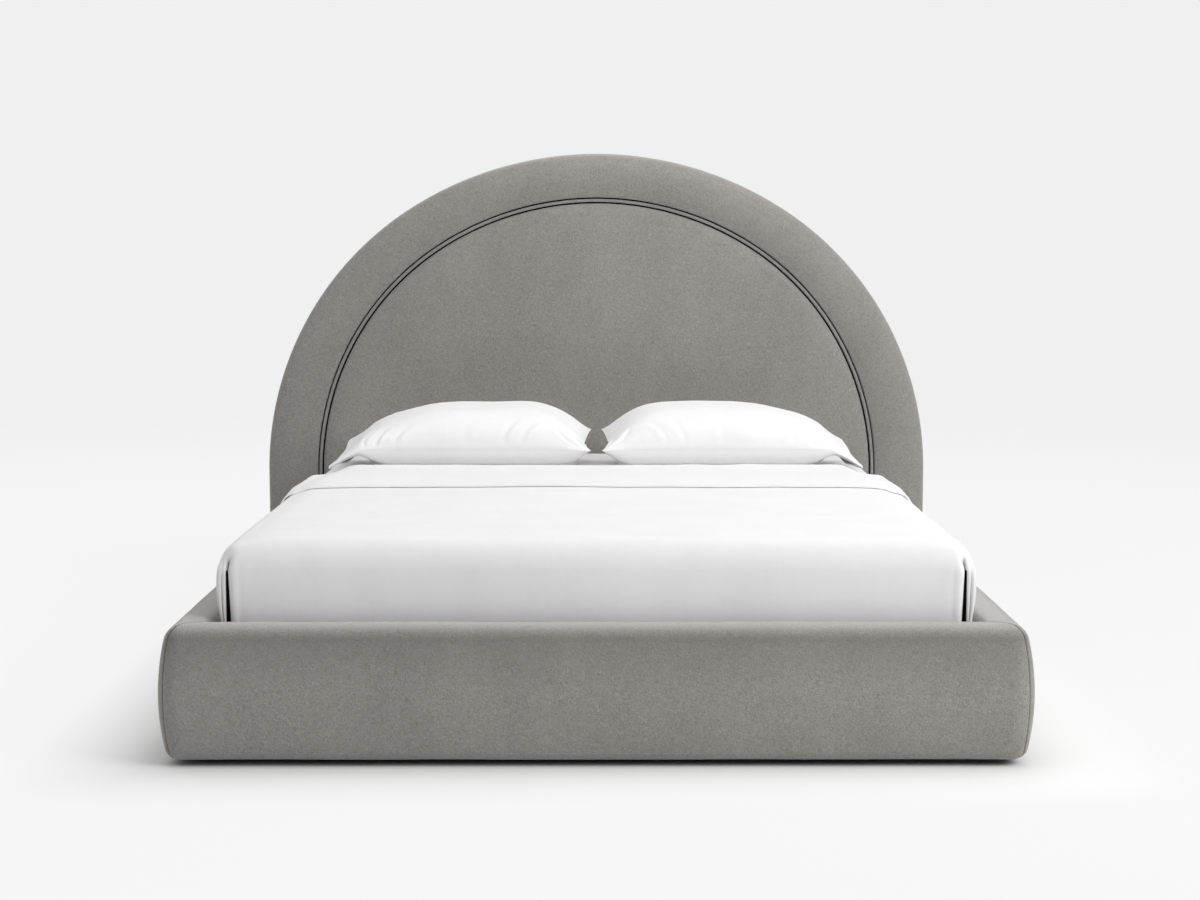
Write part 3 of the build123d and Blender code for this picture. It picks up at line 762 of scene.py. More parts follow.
def mattress_mesh():
    """A closed block, with the taped edge standing out a little above its lower edge."""
    columns, across, along = closed_columns(0.05, 6)
    low = mattress_low.z
    rows = [(side_out(low, 0) - mattress_lower_edge - 0.004, low)]
    rows += lower_edge(low, mattress_lower_edge, 0)[1:]
    rows.append((side_out(low + tape_height, 0) + tape_relief, low + tape_height))
    rows.append((side_out(low + 0.03, 0), low + 0.03))
    rows += side_profile(0, mattress_high.z, low + 0.05, mattress_shoulder, 6)
    skins = [[(*place(column, out), height) for column in columns] for out, height in [(0, low)] + rows]
    mesh_data = bmesh.new()
    add_grid(mesh_data, skins, close_columns=True)
    for height in (low, mattress_high.z):
        add_grid(mesh_data, [[(x, y, height) for x in across] for y in along])
    return mesh_data


mattress = dress("mattress_body", mattress_mesh(), "ticking", "mattress_and_linen", ("mattress",))

# %% [markdown]
# The fitted sheet goes over the mattress and turns under it, where elastic holds it. It shows only behind
# the turned-down cover, round the pillows, so its few shallow wrinkles run out from under them.

# %% The fitted sheet
sheet_growth = 0.0023
sheet_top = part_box("fitted_sheet")[1].z
sheet_shoulder = 0.037
sheet_lower_edge = 0.024


def sheet_wave(x, y):
    """Shallow wrinkles, never deeper than the sheet is off the mattress."""
    along = soft_noise((x * 0.5, y * 1.4, 0), 0.11, 1.3)
    fold = 1 - min(1.0, abs(soft_noise((x * 0.7, y, 0.3), 0.2, 6.0)) / 0.12)
    return 0.0009 * (along + 0.4) + 0.0014 * fold


def fitted_sheet_mesh():
    """One skin: the hem under the mattress, the sides and the wrinkled top."""
    columns, across, along = closed_columns(0.022, 8)
    low = mattress_low.z - sheet_growth
    profile = [(-0.024, low), (-0.02, low - 0.0004), (-0.01, low), (0, low)]
    profile += lower_edge(low, sheet_lower_edge, sheet_growth)
    profile += side_profile(sheet_growth, sheet_top, low + 0.03, sheet_shoulder, 10)
    rows = []
    for out, height in profile:
        row = []
        for column in columns:
            x, y = place(column, out)
            rise = max(0.0, sheet_wave(x, y)) * ease((height - sheet_top + 0.04) / 0.04)
            row.append((x, y, height + rise))
        rows.append(row)
    mesh_data = bmesh.new()
    add_grid(mesh_data, rows, close_columns=True)
    add_grid(mesh_data, [[(x, y, sheet_top + max(0.0, sheet_wave(x, y))) for x in across] for y in along])
    return mesh_data


sheet_nodes = ("fitted_sheet",)
fitted = dress("fitted_sheet_cloth", fitted_sheet_mesh(), "white_linen", "mattress_and_linen", sheet_nodes)

# %% [markdown]
# The cover is a thick quilt, tucked in all round. At the foot it is folded into a squared corner: the front
# ends in a soft vertical edge, then comes a slit whose inside is painted dark as shade, and outside it the
# doubled edge of the side. The outline of that corner is drawn once for the lower part and turns back into
# a plain round one above.

# %% The quilt's squared corners
quilt_growth = 0.0146
quilt_top = coverlet_high.z
quilt_low = coverlet_low.z
quilt_end = coverlet_high.y - 0.012
quilt_front = coverlet_low.y
quilt_flat = quilt_top - 0.002
inside_growth = 0.0027
inside_flat = sheet_top + 0.0012
inside_shoulder = 0.038
quilt_shoulder = 0.07
slit_top = 0.386
slit_low = 0.302
fold_top = 0.418
fold_soften = 0.032
front_edge_points = 10
slit_bottom_points = (18, 19, 20, 21)

# Each pair is a distance out from the bed's middle and a distance back from the front, from the front's
# edge at its soft fold, in to the slits and out again, to where the side's doubled edge runs back.
corner_sketch = [
    (0.7234, 0.0005), (0.7268, 0.0010), (0.7302, 0.0002), (0.7338, -0.0009), (0.7372, 0.0000),
    (0.7404, 0.0034), (0.7426, 0.0090), (0.7436, 0.0165), (0.7439, 0.0270), (0.7445, 0.0350),
    (0.7467, 0.0370), (0.7490, 0.0340), (0.7494, 0.0260), (0.7496, 0.0180), (0.7499, 0.0120),
    (0.7510, 0.0078), (0.7534, 0.0056), (0.7560, 0.0056), (0.7580, 0.0072), (0.7590, 0.0104),
    (0.7597, 0.0150), (0.7604, 0.0104), (0.7618, 0.0074), (0.7646, 0.0062), (0.7682, 0.0078),
    (0.7708, 0.0118), (0.7724, 0.0175), (0.7732, 0.0250), (0.7738, 0.0350), (0.7740, 0.0460),
]  # fmt: skip


def quilt_corner(step, column, out, height):
    """A point of the corner: plain and round above the fold, and the folded drawing below it."""
    plain = place(column, out)
    share = ease((fold_top - height) / fold_soften)
    if share == 0:
        return plain
    side = 1 if column[0] > 0 else -1
    index = min(len(corner_sketch) - 1, corner_steps - step)
    x, back = corner_sketch[index]
    # The lower down, the further the front's edge draws in from the side's edge, and the wider the slits.
    down = clamped((slit_top - height) / (slit_top - slit_low), 1.3)
    if index <= front_edge_points:
        x += (0.0104 - 0.0036 * down) * ease((x - corner_sketch[0][0]) / 0.0205)
    else:
        x += 0.0066 + (0.0085 * down - 0.0107 * down * down - 0.0018) * ease((x - 0.751) / 0.02)
    if index in slit_bottom_points:
        back = 0.0068 + (back - 0.0068) * min(1.0, 1.6 * down)
    # Where the layer's own outline stands further in, at its lower edge, the corner follows.
    widest = side_out(min(height, quilt_top - quilt_shoulder), quilt_growth)
    drawn_in = max(0.0, widest - out)
    x -= drawn_in * ease(index / 16)
    back += drawn_in * (1 - ease((index - 13) / 16))
    folded = (side * x, quilt_front + back)
    return plain[0] + (folded[0] - plain[0]) * share, plain[1] + (folded[1] - plain[1]) * share


# %% [markdown]
# A quilt that has been smoothed by hand still keeps soft hollows and ridges. On the drop at the foot they
# run down; on top they are broad and low. They are made as smooth noise, stretched along the way they run.

# %% The quilt's soft creases
band_front = turndown_low.y + 0.06
head_rise = 0.0045
side_fall = 0.008
side_start = 0.695
settle_reach = 0.35
settle_depth = 0.12


def quilt_wave(x, y):
    """Height of the soft hollows on the top, and how far it sinks towards the two long sides."""
    broad = 0.0032 * soft_noise((x, y, 0), 0.42, 11.0)
    small = 0.0011 * soft_noise((x, y * 0.7, 0.2), 0.12, 4.0)
    sunk = 0.0075 * exp(-max(0.0, inner_x - abs(x)) / 0.045)
    return broad + small - sunk


def settled(x, y, z):
    """The height of a point of the cover, raised towards the pillows and drawn down at its sides."""
    head = ease((y - band_front + settle_reach) / settle_reach)
    rear = ease((y - band_front) / settle_reach)
    near_top = clamped((z - quilt_top + settle_depth) / settle_depth)
    side = ease((abs(x) - side_start + 0.06 * rear) / 0.07)
    fall = 0.006 + 0.003 * head + side_fall * rear
    return z + near_top * (head_rise * head * (1 - 0.7 * side) - side * fall)


def drop_wave(x, y, height):
    """How far the drop stands out or in, in upright creases."""
    upright = soft_noise((x, y, height * 0.25), 0.085, 21.0)
    broad = soft_noise((x, y, height * 0.4), 0.3, 8.0)
    return 0.0013 * upright + 0.0026 * broad


def quilt_skin(columns, growth, top, shoulder, waves):
    """Rows of the sides and foot of a layer, from its lower edge up to the flat of its top."""
    rows = []
    first_corner = next(i for i, column in enumerate(columns) if column[3] < 0)
    for out, height in side_profile(growth, top, quilt_low, shoulder, 18):
        row = []
        share = 1 - ease(out / plan_radius)
        for index, column in enumerate(columns):
            step = min(index, len(columns) - 1 - index) - (first_corner - 1)
            wobble = drop_wave(column[0] + column[3], column[1] + column[2], height) * waves
            if 0 <= step <= corner_steps and growth == quilt_growth:
                x, y = quilt_corner(step, column, out, height)
            else:
                x, y = place(column, out + wobble * ease(out / 0.03))
            z = height + share * waves * quilt_wave(x, y)
            row.append((x, y, settled(x, y, z) if waves else z))
        rows.append(row)
    return rows


def quilt_mesh():
    """An outer and an inner skin with their tops, joined all round by a rolled edge."""
    columns, across, along = open_columns(quilt_end)
    outer = quilt_skin(columns, quilt_growth, quilt_flat, quilt_shoulder, 1.0)
    inner = quilt_skin(columns, inside_growth, inside_flat, inside_shoulder, 0.0)
    over = [[(x, y, settled(x, y, quilt_flat + quilt_wave(x, y))) for x in across] for y in along]
    under = [[(x, y, inside_flat) for x in across] for y in along]
    mesh_data = bmesh.new()
    made = [add_grid(mesh_data, rows) for rows in (outer, inner, over, under)]
    edges = []
    for sides, flat in zip(made[:2], made[2:]):
        edge = [row[0] for row in sides][:-1] + flat[0] + [row[-1] for row in reversed(sides)][1:]
        rear = len(edge)
        edges.append(edge + sides[0][-2:0:-1])
    edge_out, edge_in = edges
    rolls = [edge_out]
    for step in range(1, 6):
        turn = pi * step / 6
        roll = []
        for index, (a, b) in enumerate(zip(edge_out, edge_in)):
            middle = (a.co + b.co) / 2
            half = (a.co - b.co) / 2
            bulge = Vector((0, 1, 0)) if index < rear else Vector((0, 0, -1))
            reach = min(half.length, 0.012) if index < rear else half.length
            roll.append(mesh_data.verts.new(middle + half * cos(turn) + bulge * reach * sin(turn)))
        rolls.append(roll)
    rolls.append(edge_in)
    join_rows(mesh_data, rolls, close_columns=True)
    return mesh_data


quilt = dress("quilt", quilt_mesh(), "white_linen", "mattress_and_linen", ("coverlet",))

# %% [markdown]
# At the head end of the quilt the top sheet is turned down over it in a broad band. The band wraps the
# quilt's rolled end and lies on top, so it is drawn as one section along the bed, carried across it from
# one tucked side to the other.

# %% The turned-down band
band_rear = turndown_high.y
band_depth = turndown_high.z - quilt_top
edge_depth = 0.0052
front_ripple = 0.006
under_lift = 0.0014
rear_turn = 0.034


def across_section(y, growth, lift):
    """Points from the right-hand tuck, over the top, to the left-hand tuck, for one layer."""
    points = []
    top = quilt_flat + lift
    shoulder = quilt_shoulder - 0.002 + lift * 0.5
    for out, height in side_profile(growth, top, quilt_low + 0.001, shoulder, 10):
        share = 1 - ease(out / plan_radius)
        wobble = drop_wave(1 + inner_x, y, height) * ease(out / 0.03)
        x = inner_x + out + wobble
        points.append((x, y, height + share * quilt_wave(x, y)))
    left = [(-x, y, z) for x, y, z in reversed(points)]
    for x in spread(inner_x, -inner_x, 0.02)[1:-1]:
        rumple = 0.0015 * soft_noise((x, y * 0.5, 1), 0.09, 14.0) * ease(lift / 0.01)
        points.append((x, y, top + quilt_wave(x, y) + rumple))
    return points + left


def band_mesh():
    """Loops of (y, growth, lift): over the top from the front's edge, round the rear and back under."""
    loops = []
    lengths = [0, 0.0008, 0.003, 0.007, 0.014, 0.025, 0.045, 0.075, 0.11, 0.15]
    lengths += spread(0.19, band_rear - band_front - 0.03, 0.03)
    for length in lengths:
        swell = edge_depth + (band_depth - edge_depth) * ease(length / 0.13)
        round_edge = round_over(length / 0.003)
        loops.append((band_front + length, 0.0012 + 0.0032 * round_edge, under_lift + swell * round_edge))
    for turn in quarter(8)[1:]:
        fallen = 1 - cos(turn)
        y = band_rear - 0.03 + rear_turn * sin(turn)
        loops.append((y, 0.0044 - 0.0012 * fallen, under_lift + band_depth - rear_turn * fallen))
    loops.append((band_rear - 0.002, 0.001, under_lift - 0.0325))
    loops.append((band_rear - 0.01, 0.001, under_lift))
    for length in reversed(lengths[1:]):
        loops.append((band_front + length - 0.004, 0.0008, under_lift - 0.0002))
    rows = [across_section(y, quilt_growth + grow, lift) for y, grow, lift in loops]
    laid = []
    for row in rows:
        moved = []
        for x, y, z in row:
            front = ease((band_front + 0.2 - y) / 0.2)
            y += front * (front_ripple * soft_noise((x, 0, 0), 0.3, 30.0))
            moved.append((x, y, max(settled(x, y, z), quilt_low)))
        laid.append(moved)
    mesh_data = bmesh.new()
    made = add_grid(mesh_data, laid, close_rows=True)
    mesh_data.faces.new([row[0] for row in made])
    mesh_data.faces.new([row[-1] for row in reversed(made)])
    return mesh_data


band = dress("turned_down_band", band_mesh(), "white_linen", "mattress_and_linen", ("turned_down_sheet",))

# %% [markdown]
# A pillow is two flat panels sewn round the edge and filled. Filling it draws the sides in between the
# corners and leaves the corners as thin points. It rests on the sheet, so its underside is flat there. The
# case is longer than the pillow: its open end is empty and sags down beside it.

# %% A pillow's form
pillow_low, pillow_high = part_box("pillow_right")
pillow_inner = pillow_low.x - 0.005
pillow_outer = pillow_high.x
pillow_base = sheet_top + 0.0006
pillow_seam = 0.4992
pillow_crest = pillow_high.z
end_draw = 0.02
hem_draw = 0.005
side_draw = 0.015
hem_depth = 0.078
hem_fade = 0.14
case_thickness = 0.006
top_reach, top_power, top_side_power = 0.2, 2.4, 0.52
under_reach, under_power = 0.1, 2.1


def fullness(distance, reach, power):
    """How much of its full height a pillow has at a distance from a seam."""
    return 1 - (1 - clamped(distance / reach)) ** power


def along_table(value, table):
    """A reading in a table of pairs, along the straight line between two of them."""
    for (a, low), (b, high) in zip(table, table[1:]):
        if value <= b:
            return low + (high - low) * max(0.0, value - a) / (b - a)
    return table[-1][1]


outer_top = [
    (0, 0.0), (0.02, 0.04), (0.042, 0.12), (0.062, 0.21), (0.082, 0.33), (0.1, 0.45), (0.12, 0.57),
    (0.148, 0.69), (0.19, 0.81), (0.23, 0.9), (0.27, 0.96), (0.33, 1.0),
]  # fmt: skip
outer_under = [
    (0, 0.0), (0.03, 0.08), (0.06, 0.17), (0.078, 0.26), (0.092, 0.42), (0.108, 0.62), (0.13, 0.84),
    (0.16, 1.0),
]  # fmt: skip
side_under = [
    (0, 0.0), (0.001, 0.13), (0.003, 0.27), (0.006, 0.37), (0.01, 0.435), (0.018, 0.475), (0.035, 0.5),
    (0.06, 0.6), (0.1, 0.82), (0.15, 1.0),
]  # fmt: skip
front_bulge = [
    (0, 0.0), (0.001, 0.3), (0.003, 0.6), (0.006, 0.85), (0.01, 1.0), (0.018, 0.8), (0.035, 0.4),
    (0.06, 0.0),
]  # fmt: skip
bulge_depth = 0.011
seam_lip = 0.0022
seam_lip_reach = 0.0045


def seam_height(t, from_outer):
    """The height of the seam round the pillow; beyond the filling, the empty case sags."""
    sag = (0.04 - 0.006 * t) * max(0.0, 1 - from_outer / (hem_depth + 0.004)) ** 1.15
    return pillow_seam + 0.014 * ease((t + 0.2) / 1.2) - sag


def creases(x, y, strokes):
    """Sharp little folds: each stroke is a start, an end, a width and a depth."""
    total = 0.0
    for x0, y0, x1, y1, width, depth in strokes:
        run = Vector((x1 - x0, y1 - y0))
        length = run.length
        run /= length
        along = (x - x0) * run.x + (y - y0) * run.y
        across = (y - y0) * run.x - (x - x0) * run.y + 0.004 * sin(along * 60)
        fade = ease(1 + along / 0.02) * ease((length - along) / (0.6 * length))
        if fade > 0:
            wide = width * (0.6 + 0.8 * max(0.0, along) / length)
            valley = exp(-((across / wide) ** 2))
            ridge = exp(-(((across - 1.7 * wide) / wide) ** 2))
            total += 1.4 * depth * fade * (0.7 * ridge - valley)
    return total


def pillow_point(s, t, upper, seed, strokes):
    """A point of the pillowcase: s from -1 at its inner end to 1, t from -1 at its front to 1.

    The filling draws the four sides in, the seam stands out as a thin lip, and small puckers run in from
    the seam. Towards the hem the case is empty, so its two sides lie close together there.
    """
    half_x = (pillow_outer - pillow_inner) / 2
    half_y = (pillow_high.y - pillow_low.y) / 2
    inner_draw = end_draw if s < 0 else hem_draw
    bow = 1 - (abs(t + 0.3) / (0.7 if t < -0.3 else 1.3)) ** 1.4
    x = pillow_inner + half_x * (1 + s) - s * inner_draw * bow * abs(s) ** 5
    x += 0.004 * soft_noise((t, 0, 0), 0.6, seed) * max(0.0, s) ** 6
    filled = ease((pillow_outer - x) / hem_fade)
    y = pillow_low.y + half_y * (1 + t) - t * side_draw * (1 - abs(s) ** 4) * abs(t) ** 3
    to_inner = (1 + s) * half_x
    to_outer = (1 - s) * half_x
    to_side = (1 - abs(t)) * half_y
    edge = min(to_inner, to_side)
    y += (seam_lip if t > 0 else -seam_lip) * max(0.0, 1 - to_side / seam_lip_reach)
    seam = seam_height(t, to_outer) + 0.003 * max(0.0, -s) ** 6 * (1 - t * t)
    corner = hypot(to_inner, to_side)
    ray = atan2(to_side, to_inner)
    pucker = 0.005 * exp(-((corner - 0.06) ** 2) / 0.0024) * noise.noise(Vector((ray * 5.0, 2 * t, seed)))
    pucker += 0.0016 * exp(-((edge - 0.016) ** 2) / 0.0003) * soft_noise((x, y, 0), 0.02, seed) * filled
    if upper:
        broad = 0.0055 * soft_noise((x, y, 0), 0.15, seed) * ease(edge / 0.08)
        full = fullness(to_inner, top_reach, top_power)
        full *= fullness(to_side, top_reach, top_power) ** top_side_power
        full *= along_table(to_outer, outer_top)
        thin = case_thickness * (1 - filled) * fullness(to_side, 0.02, 2)
        height = seam + thin + (pillow_crest - pillow_seam - 0.012) * full
        return x, y, height + (pucker + broad + creases(x, y, strokes)) * ease(edge / 0.012) * filled
    inner_full = fullness(to_inner, under_reach, under_power)
    full = inner_full * along_table(to_side, side_under) * along_table(to_outer, outer_under)
    y -= bulge_depth * along_table(to_side, front_bulge) * ease(-t / 0.4) * inner_full * filled
    thin = 0.005 * (1 - filled) * fullness(to_side, 0.02, 2)
    height = seam - thin - (seam - pillow_base + 0.006) * full
    height -= (pucker + 0.6 * creases(x, y - 0.05, strokes)) * ease(edge / 0.012) * filled
    return x, y, max(height, pillow_base)


# %% [markdown]
# The folds near a pillow's corners start at the seam and fan out into the filling. Each is listed
# with a start, an end, a width and a depth, because random noise never makes such folds convincingly.

# %% Make the two pillows
pillow_folds = [
    (0.590, 0.272, 0.560, 0.350, 0.006, 0.0050), (0.545, 0.270, 0.500, 0.345, 0.008, 0.0035),
    (0.620, 0.290, 0.590, 0.390, 0.006, 0.0045), (0.250, 0.270, 0.215, 0.360, 0.008, 0.0045),
    (0.205, 0.270, 0.160, 0.345, 0.007, 0.0040), (0.060, 0.285, 0.130, 0.330, 0.005, 0.0045),
    (0.035, 0.300, 0.090, 0.390, 0.006, 0.0050), (0.050, 0.740, 0.130, 0.660, 0.007, 0.0050),
    (0.480, 0.755, 0.440, 0.690, 0.009, 0.0035), (0.600, 0.740, 0.540, 0.650, 0.008, 0.0045),
    (0.640, 0.420, 0.540, 0.450, 0.008, 0.0035), (0.640, 0.560, 0.550, 0.540, 0.008, 0.0035),
    (0.030, 0.500, 0.110, 0.480, 0.007, 0.0035), (0.350, 0.270, 0.340, 0.330, 0.009, 0.0025),
]  # fmt: skip


def pillow_mesh(side, seed, strokes):
    """The upper and under sides of the case, and the pocket at its open end."""
    sweep_s = [sin(pi * (step / 130 - 0.5)) for step in range(131)]
    sweep_t = [sin(pi * (step / 96 - 0.5)) for step in range(97)]
    skins = []
    for upper in (True, False):
        skins.append([[pillow_point(s, t, upper, seed, strokes) for s in sweep_s] for t in sweep_t])
    pocket = []
    for top_row, low_row in zip(*skins):
        (x, y, high), (_, _, low) = top_row[-1], low_row[-1]
        inner = (x - 0.045, y, (top_row[-14][2] + low_row[-14][2]) / 2)
        pocket.append([(x, y, high), (x - 0.002, y, high - 0.0014), inner])
        pocket[-1] += [(x - 0.002, y, low + 0.0014), (x, y, low)]
    mesh_data = bmesh.new()
    for rows in (*skins, pocket):
        add_grid(mesh_data, on_side(rows, side))
    return mesh_data


for side, word, seed in ((1, "right", 3.0), (-1, "left", 17.0)):
    shift = 0.012 if side > 0 else 0.0
    strokes = [(x0 - shift, y0, x1 - 2 * shift, y1 + shift, w, d) for x0, y0, x1, y1, w, d in pillow_folds]
    body_name = f"pillow_{word}"
    case = pillow_mesh(side, seed, strokes)
    pillow = dress(f"pillow_{word}_cased", case, "pillowcase", body_name, (body_name,))

# %% [markdown]
# Two flat webbing straps hold the slats at their spacing. Between slats each sags by a millimetre or two.

# %% The slat straps
strap_low, strap_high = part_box("slat_straps")
first_slat, second_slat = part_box("slat_01")[0].y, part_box("slat_02")[0].y
slat_pitch = second_slat - first_slat
slat_width = 0.09
strap_width = 0.025
strap_sag = 0.0016


def strap_mesh(side):
    """A flat strap from the first slat to the last, on one side of the bed."""
    edge = strap_high.x - strap_width
    rows = []
    for y in spread(strap_low.y, strap_high.y, 0.008):
        past_slat = max(0.0, (y - first_slat) % slat_pitch - slat_width)
        sag = strap_sag * sin(pi * past_slat / (slat_pitch - slat_width))
        low, high = strap_low.z - sag, strap_high.z - sag
        row = [(edge, y, low), (edge + strap_width / 2, y, low), (edge + strap_width, y, low)]
        rows.append(row + [(x, y, high) for x, y, low in reversed(row)])
    return swept(on_side(rows, side))


for side, word in ((1, "right"), (-1, "left")):
    strap = dress(f"slat_strap_{word}", strap_mesh(side), "webbing", "bed_frame", ("slat_straps",))

# %% [markdown]
# A material is a small calculation: where on the surface, what noise or weave is there, and which colour
# and height that gives. The classes below let such a calculation be written as ordinary sums. A wire is one
# socket of a node; adding or multiplying wires adds the node that does it.

# %% Write materials as sums


class Wire:
    """One value, colour or direction among the nodes."""

    def __init__(self, bench, socket):
        self.bench = bench
        self.socket = socket

    def __add__(self, other):
        return self.bench.maths("ADD", self, other)

    def __sub__(self, other):
        return self.bench.maths("SUBTRACT", self, other)

    def __rsub__(self, other):
        return self.bench.maths("SUBTRACT", other, self)

    def __mul__(self, other):
        return self.bench.maths("MULTIPLY", self, other)


class Bench:
    """A material or a world being put together from nodes."""

    def __init__(self, holder, output):
        self.holder = holder
        holder.use_nodes = True
        self.tree = holder.node_tree
        self.tree.nodes.clear()
        self.output = self.tree.nodes.new(output)

    def node(self, kind, settings, inputs, output=0):
        """Any node: its settings first, then its sockets. Returns one of its outputs as a wire."""
        made = self.tree.nodes.new(kind)
        for setting, value in settings.items():
            setattr(made, setting, value)
        for socket, value in inputs.items():
            self.feed(made.inputs[socket], value)
        return Wire(self, made.outputs[output])

    def feed(self, socket, value):
        if isinstance(value, Wire):
            self.tree.links.new(value.socket, socket)
        else:
            socket.default_value = value

    def show(self, surface):
        self.feed(self.output.inputs["Surface"], surface)

    def maths(self, operation, first, second=0.5):
        return self.node("ShaderNodeMath", {"operation": operation}, {0: first, 1: second})

    def axis(self, direction, letter):
        """One coordinate of a place or a direction."""
        return self.node("ShaderNodeSeparateXYZ", {}, {0: direction}, letter)

    def limited(self, value, low, high, least=0.0, most=1.0):
        """The stretch from low to high becomes least to most."""
        inputs = {"Value": value, "From Min": low, "From Max": high, "To Min": least, "To Max": most}
        return self.node("ShaderNodeMapRange", {"clamp": True}, inputs)

    def looked_at(self):
        """1 where the camera looks straight, or by way of a reflection; 0 for light on its way."""
        straight = self.node("ShaderNodeLightPath", {}, {}, "Is Camera Ray")
        mirrored = self.node("ShaderNodeLightPath", {}, {}, "Is Glossy Ray")
        return self.maths("MAXIMUM", straight, mirrored)


class Finish(Bench):
    """A material with one shader for the whole surface."""

    def __init__(self, name):
        super().__init__(bpy.data.materials.new(name), "ShaderNodeOutputMaterial")
        self.shader = self.tree.nodes.new("ShaderNodeBsdfPrincipled")
        self.show(Wire(self, self.shader.outputs["BSDF"]))

    def where(self, stretch=(1, 1, 1)):
        """The place on the piece, in metres, stretched along its axes."""
        spot = self.node("ShaderNodeTexCoord", {}, {}, "Object")
        return self.node("ShaderNodeVectorMath", {"operation": "MULTIPLY"}, {0: spot, 1: stretch})

    def cloudy(self, scale, detail=2.0, rough=0.5, curl=0.0, stretch=(1, 1, 1)):
        """Smooth noise from 0 to 1, about 0.5 on average; curl draws it out into little worms."""
        inputs = {"Vector": self.where(stretch), "Scale": scale, "Detail": detail}
        inputs.update({"Roughness": rough, "Distortion": curl})
        return self.node("ShaderNodeTexNoise", {}, inputs, "Fac")

    def ridges(self, direction, scale):
        """Waves that follow each other along X or Y, as threads and ribs do."""
        inputs = {"Vector": self.where(), "Scale": scale}
        return self.node("ShaderNodeTexWave", {"bands_direction": direction}, inputs, "Fac")

    def cells(self, feature, scale):
        """Rounded cells, 0 at the middle of each."""
        inputs = {"Vector": self.where(), "Scale": scale}
        return self.node("ShaderNodeTexVoronoi", {"feature": feature}, inputs, "Distance")

    def mixed(self, share, first, second):
        """One colour turning into another."""
        return self.node("ShaderNodeMix", {"data_type": "RGBA"}, {0: share, 6: first, 7: second}, 2)

    def set(self, **values):
        """Sets the shader's values by name and returns the material."""
        for name, value in values.items():
            self.feed(self.shader.inputs[name.replace("_", " ")], value)
        return self.holder

    def relief(self, height, depth, strength):
        inputs = {"Height": height, "Distance": depth, "Strength": strength}
        self.set(Normal=self.node("ShaderNodeBump", {}, inputs))


def paint(red, green, blue):
    """A colour as a painter's chart gives it, 0 to 255, as the light it sends back."""
    parts = []
    for part in (red, green, blue):
        share = part / 255
        parts.append(share / 12.92 if share <= 0.04045 else ((share + 0.055) / 1.055) ** 2.4)
    return (*parts, 1.0)


# %% [markdown]
# The upholstery is a short-napped suede cloth. Its nap lies a little differently from place to place, so
# the colour is mottled on the scale of a fingertip, with broader strokes where a hand has passed over it.
# Where the cloth faces up its colour is painted paler, a painted highlight of the light from above; on
# half-tilted rounded edges up to a little above the rails' tops it is painted darker, a painted shade.
# Sheen lifts the colour where the surface turns away, and a darker line marks the thread of the mitre
# seams.

# %% The suede cloth


def suede():
    bench = Finish("suede_cloth")
    spot = bench.where()
    stroke = bench.cloudy(4.5, 3.0, 0.6, stretch=(1.0, 1.0, 0.55))
    mottle = bench.cloudy(150.0, 2.0, 0.55, 1.6)
    fine = bench.cloudy(480.0, 2.0, 0.6)
    share = bench.limited(stroke * 0.18 + mottle * 0.5 + fine * 0.32, 0.35, 0.65)
    napped = bench.mixed(share, paint(128, 125, 121), paint(167, 164, 159))
    tilt = bench.axis(bench.node("ShaderNodeTexCoord", {}, {}, "Normal"), "Z")
    # Painted highlight: the colour turns paler where the cloth faces up.
    painted_top_highlight = bench.limited(tilt, 0.6, 1.0)
    # Painted shade: a darker colour on half-tilted edges, up to a little above the rails' tops.
    painted_edge_shade = bench.limited(tilt, 0.05, 0.3) * (1.0 - bench.limited(tilt, 0.45, 0.85)) * 0.6
    painted_edge_shade = painted_edge_shade * bench.limited(bench.axis(spot, "Z"), rail_top + 0.04, rail_top + 0.02)
    napped_and_painted_light = bench.mixed(painted_top_highlight * painted_top_highlight, napped, paint(176, 174, 170))
    napped_and_painted_light = bench.mixed(painted_edge_shade, napped_and_painted_light, paint(116, 113, 109))
    from_middle = bench.maths("ABSOLUTE", bench.axis(spot, "X"))
    past_mitre = from_middle + bench.axis(spot, "Y") - (rail_inner + foot_inner)
    from_seam = bench.maths("ABSOLUTE", past_mitre)
    colour = bench.mixed(bench.limited(from_seam, 0.0028, 0.001), napped_and_painted_light, paint(84, 82, 79))
    bench.relief(mottle * 0.7 + fine * 0.3, 0.0036, 0.8)
    bench.set(Sheen_Weight=0.9, Sheen_Roughness=0.3, Sheen_Tint=paint(236, 234, 230))
    return bench.set(Base_Color=colour, Roughness=0.93, Specular_IOR_Level=0.2)


# %% [markdown]
# The bed linen is a plain-woven cotton. From here its threads can't be seen one by one, so the weave is a
# very fine relief, and what shows is the soft crumple that washing leaves.

# %% The linen


def linen(name, tint, crumple):
    bench = Finish(name)
    wefts = bench.ridges("X", 260.0)
    warps = bench.ridges("Y", 260.0)
    creases = bench.cloudy(9.0, 3.0)
    slub = bench.cloudy(60.0)
    share = bench.limited(creases * 0.7 + slub * 0.3, 0.3, 0.7)
    darker = tuple(part * 0.96 for part in tint[:3]) + (1.0,)
    bench.relief(creases * crumple + slub * 0.08 + (wefts + warps) * 0.012, 0.006, 0.5)
    bench.set(Base_Color=bench.mixed(share, darker, tint), Roughness=0.88, Specular_IOR_Level=0.25)
    return bench.set(Sheen_Weight=0.08, Sheen_Roughness=0.5)


# %% [markdown]
# Deep in the two folded corners at the foot, where the cloth turns in, the inside of the quilt's slits is
# painted a charcoal grey as painted shade.

# %% Painted shade in the quilt's slits


def slit_shade():
    bench = Finish("charcoal_lining")
    threads = bench.cloudy(600.0)
    # Painted shade: a near-black grey for the inside of the slits.
    colour = bench.mixed(threads, paint(34, 34, 35), paint(50, 50, 51))
    bench.relief(threads, 0.0003, 0.5)
    return bench.set(Base_Color=colour, Roughness=0.92, Specular_IOR_Level=0.15)
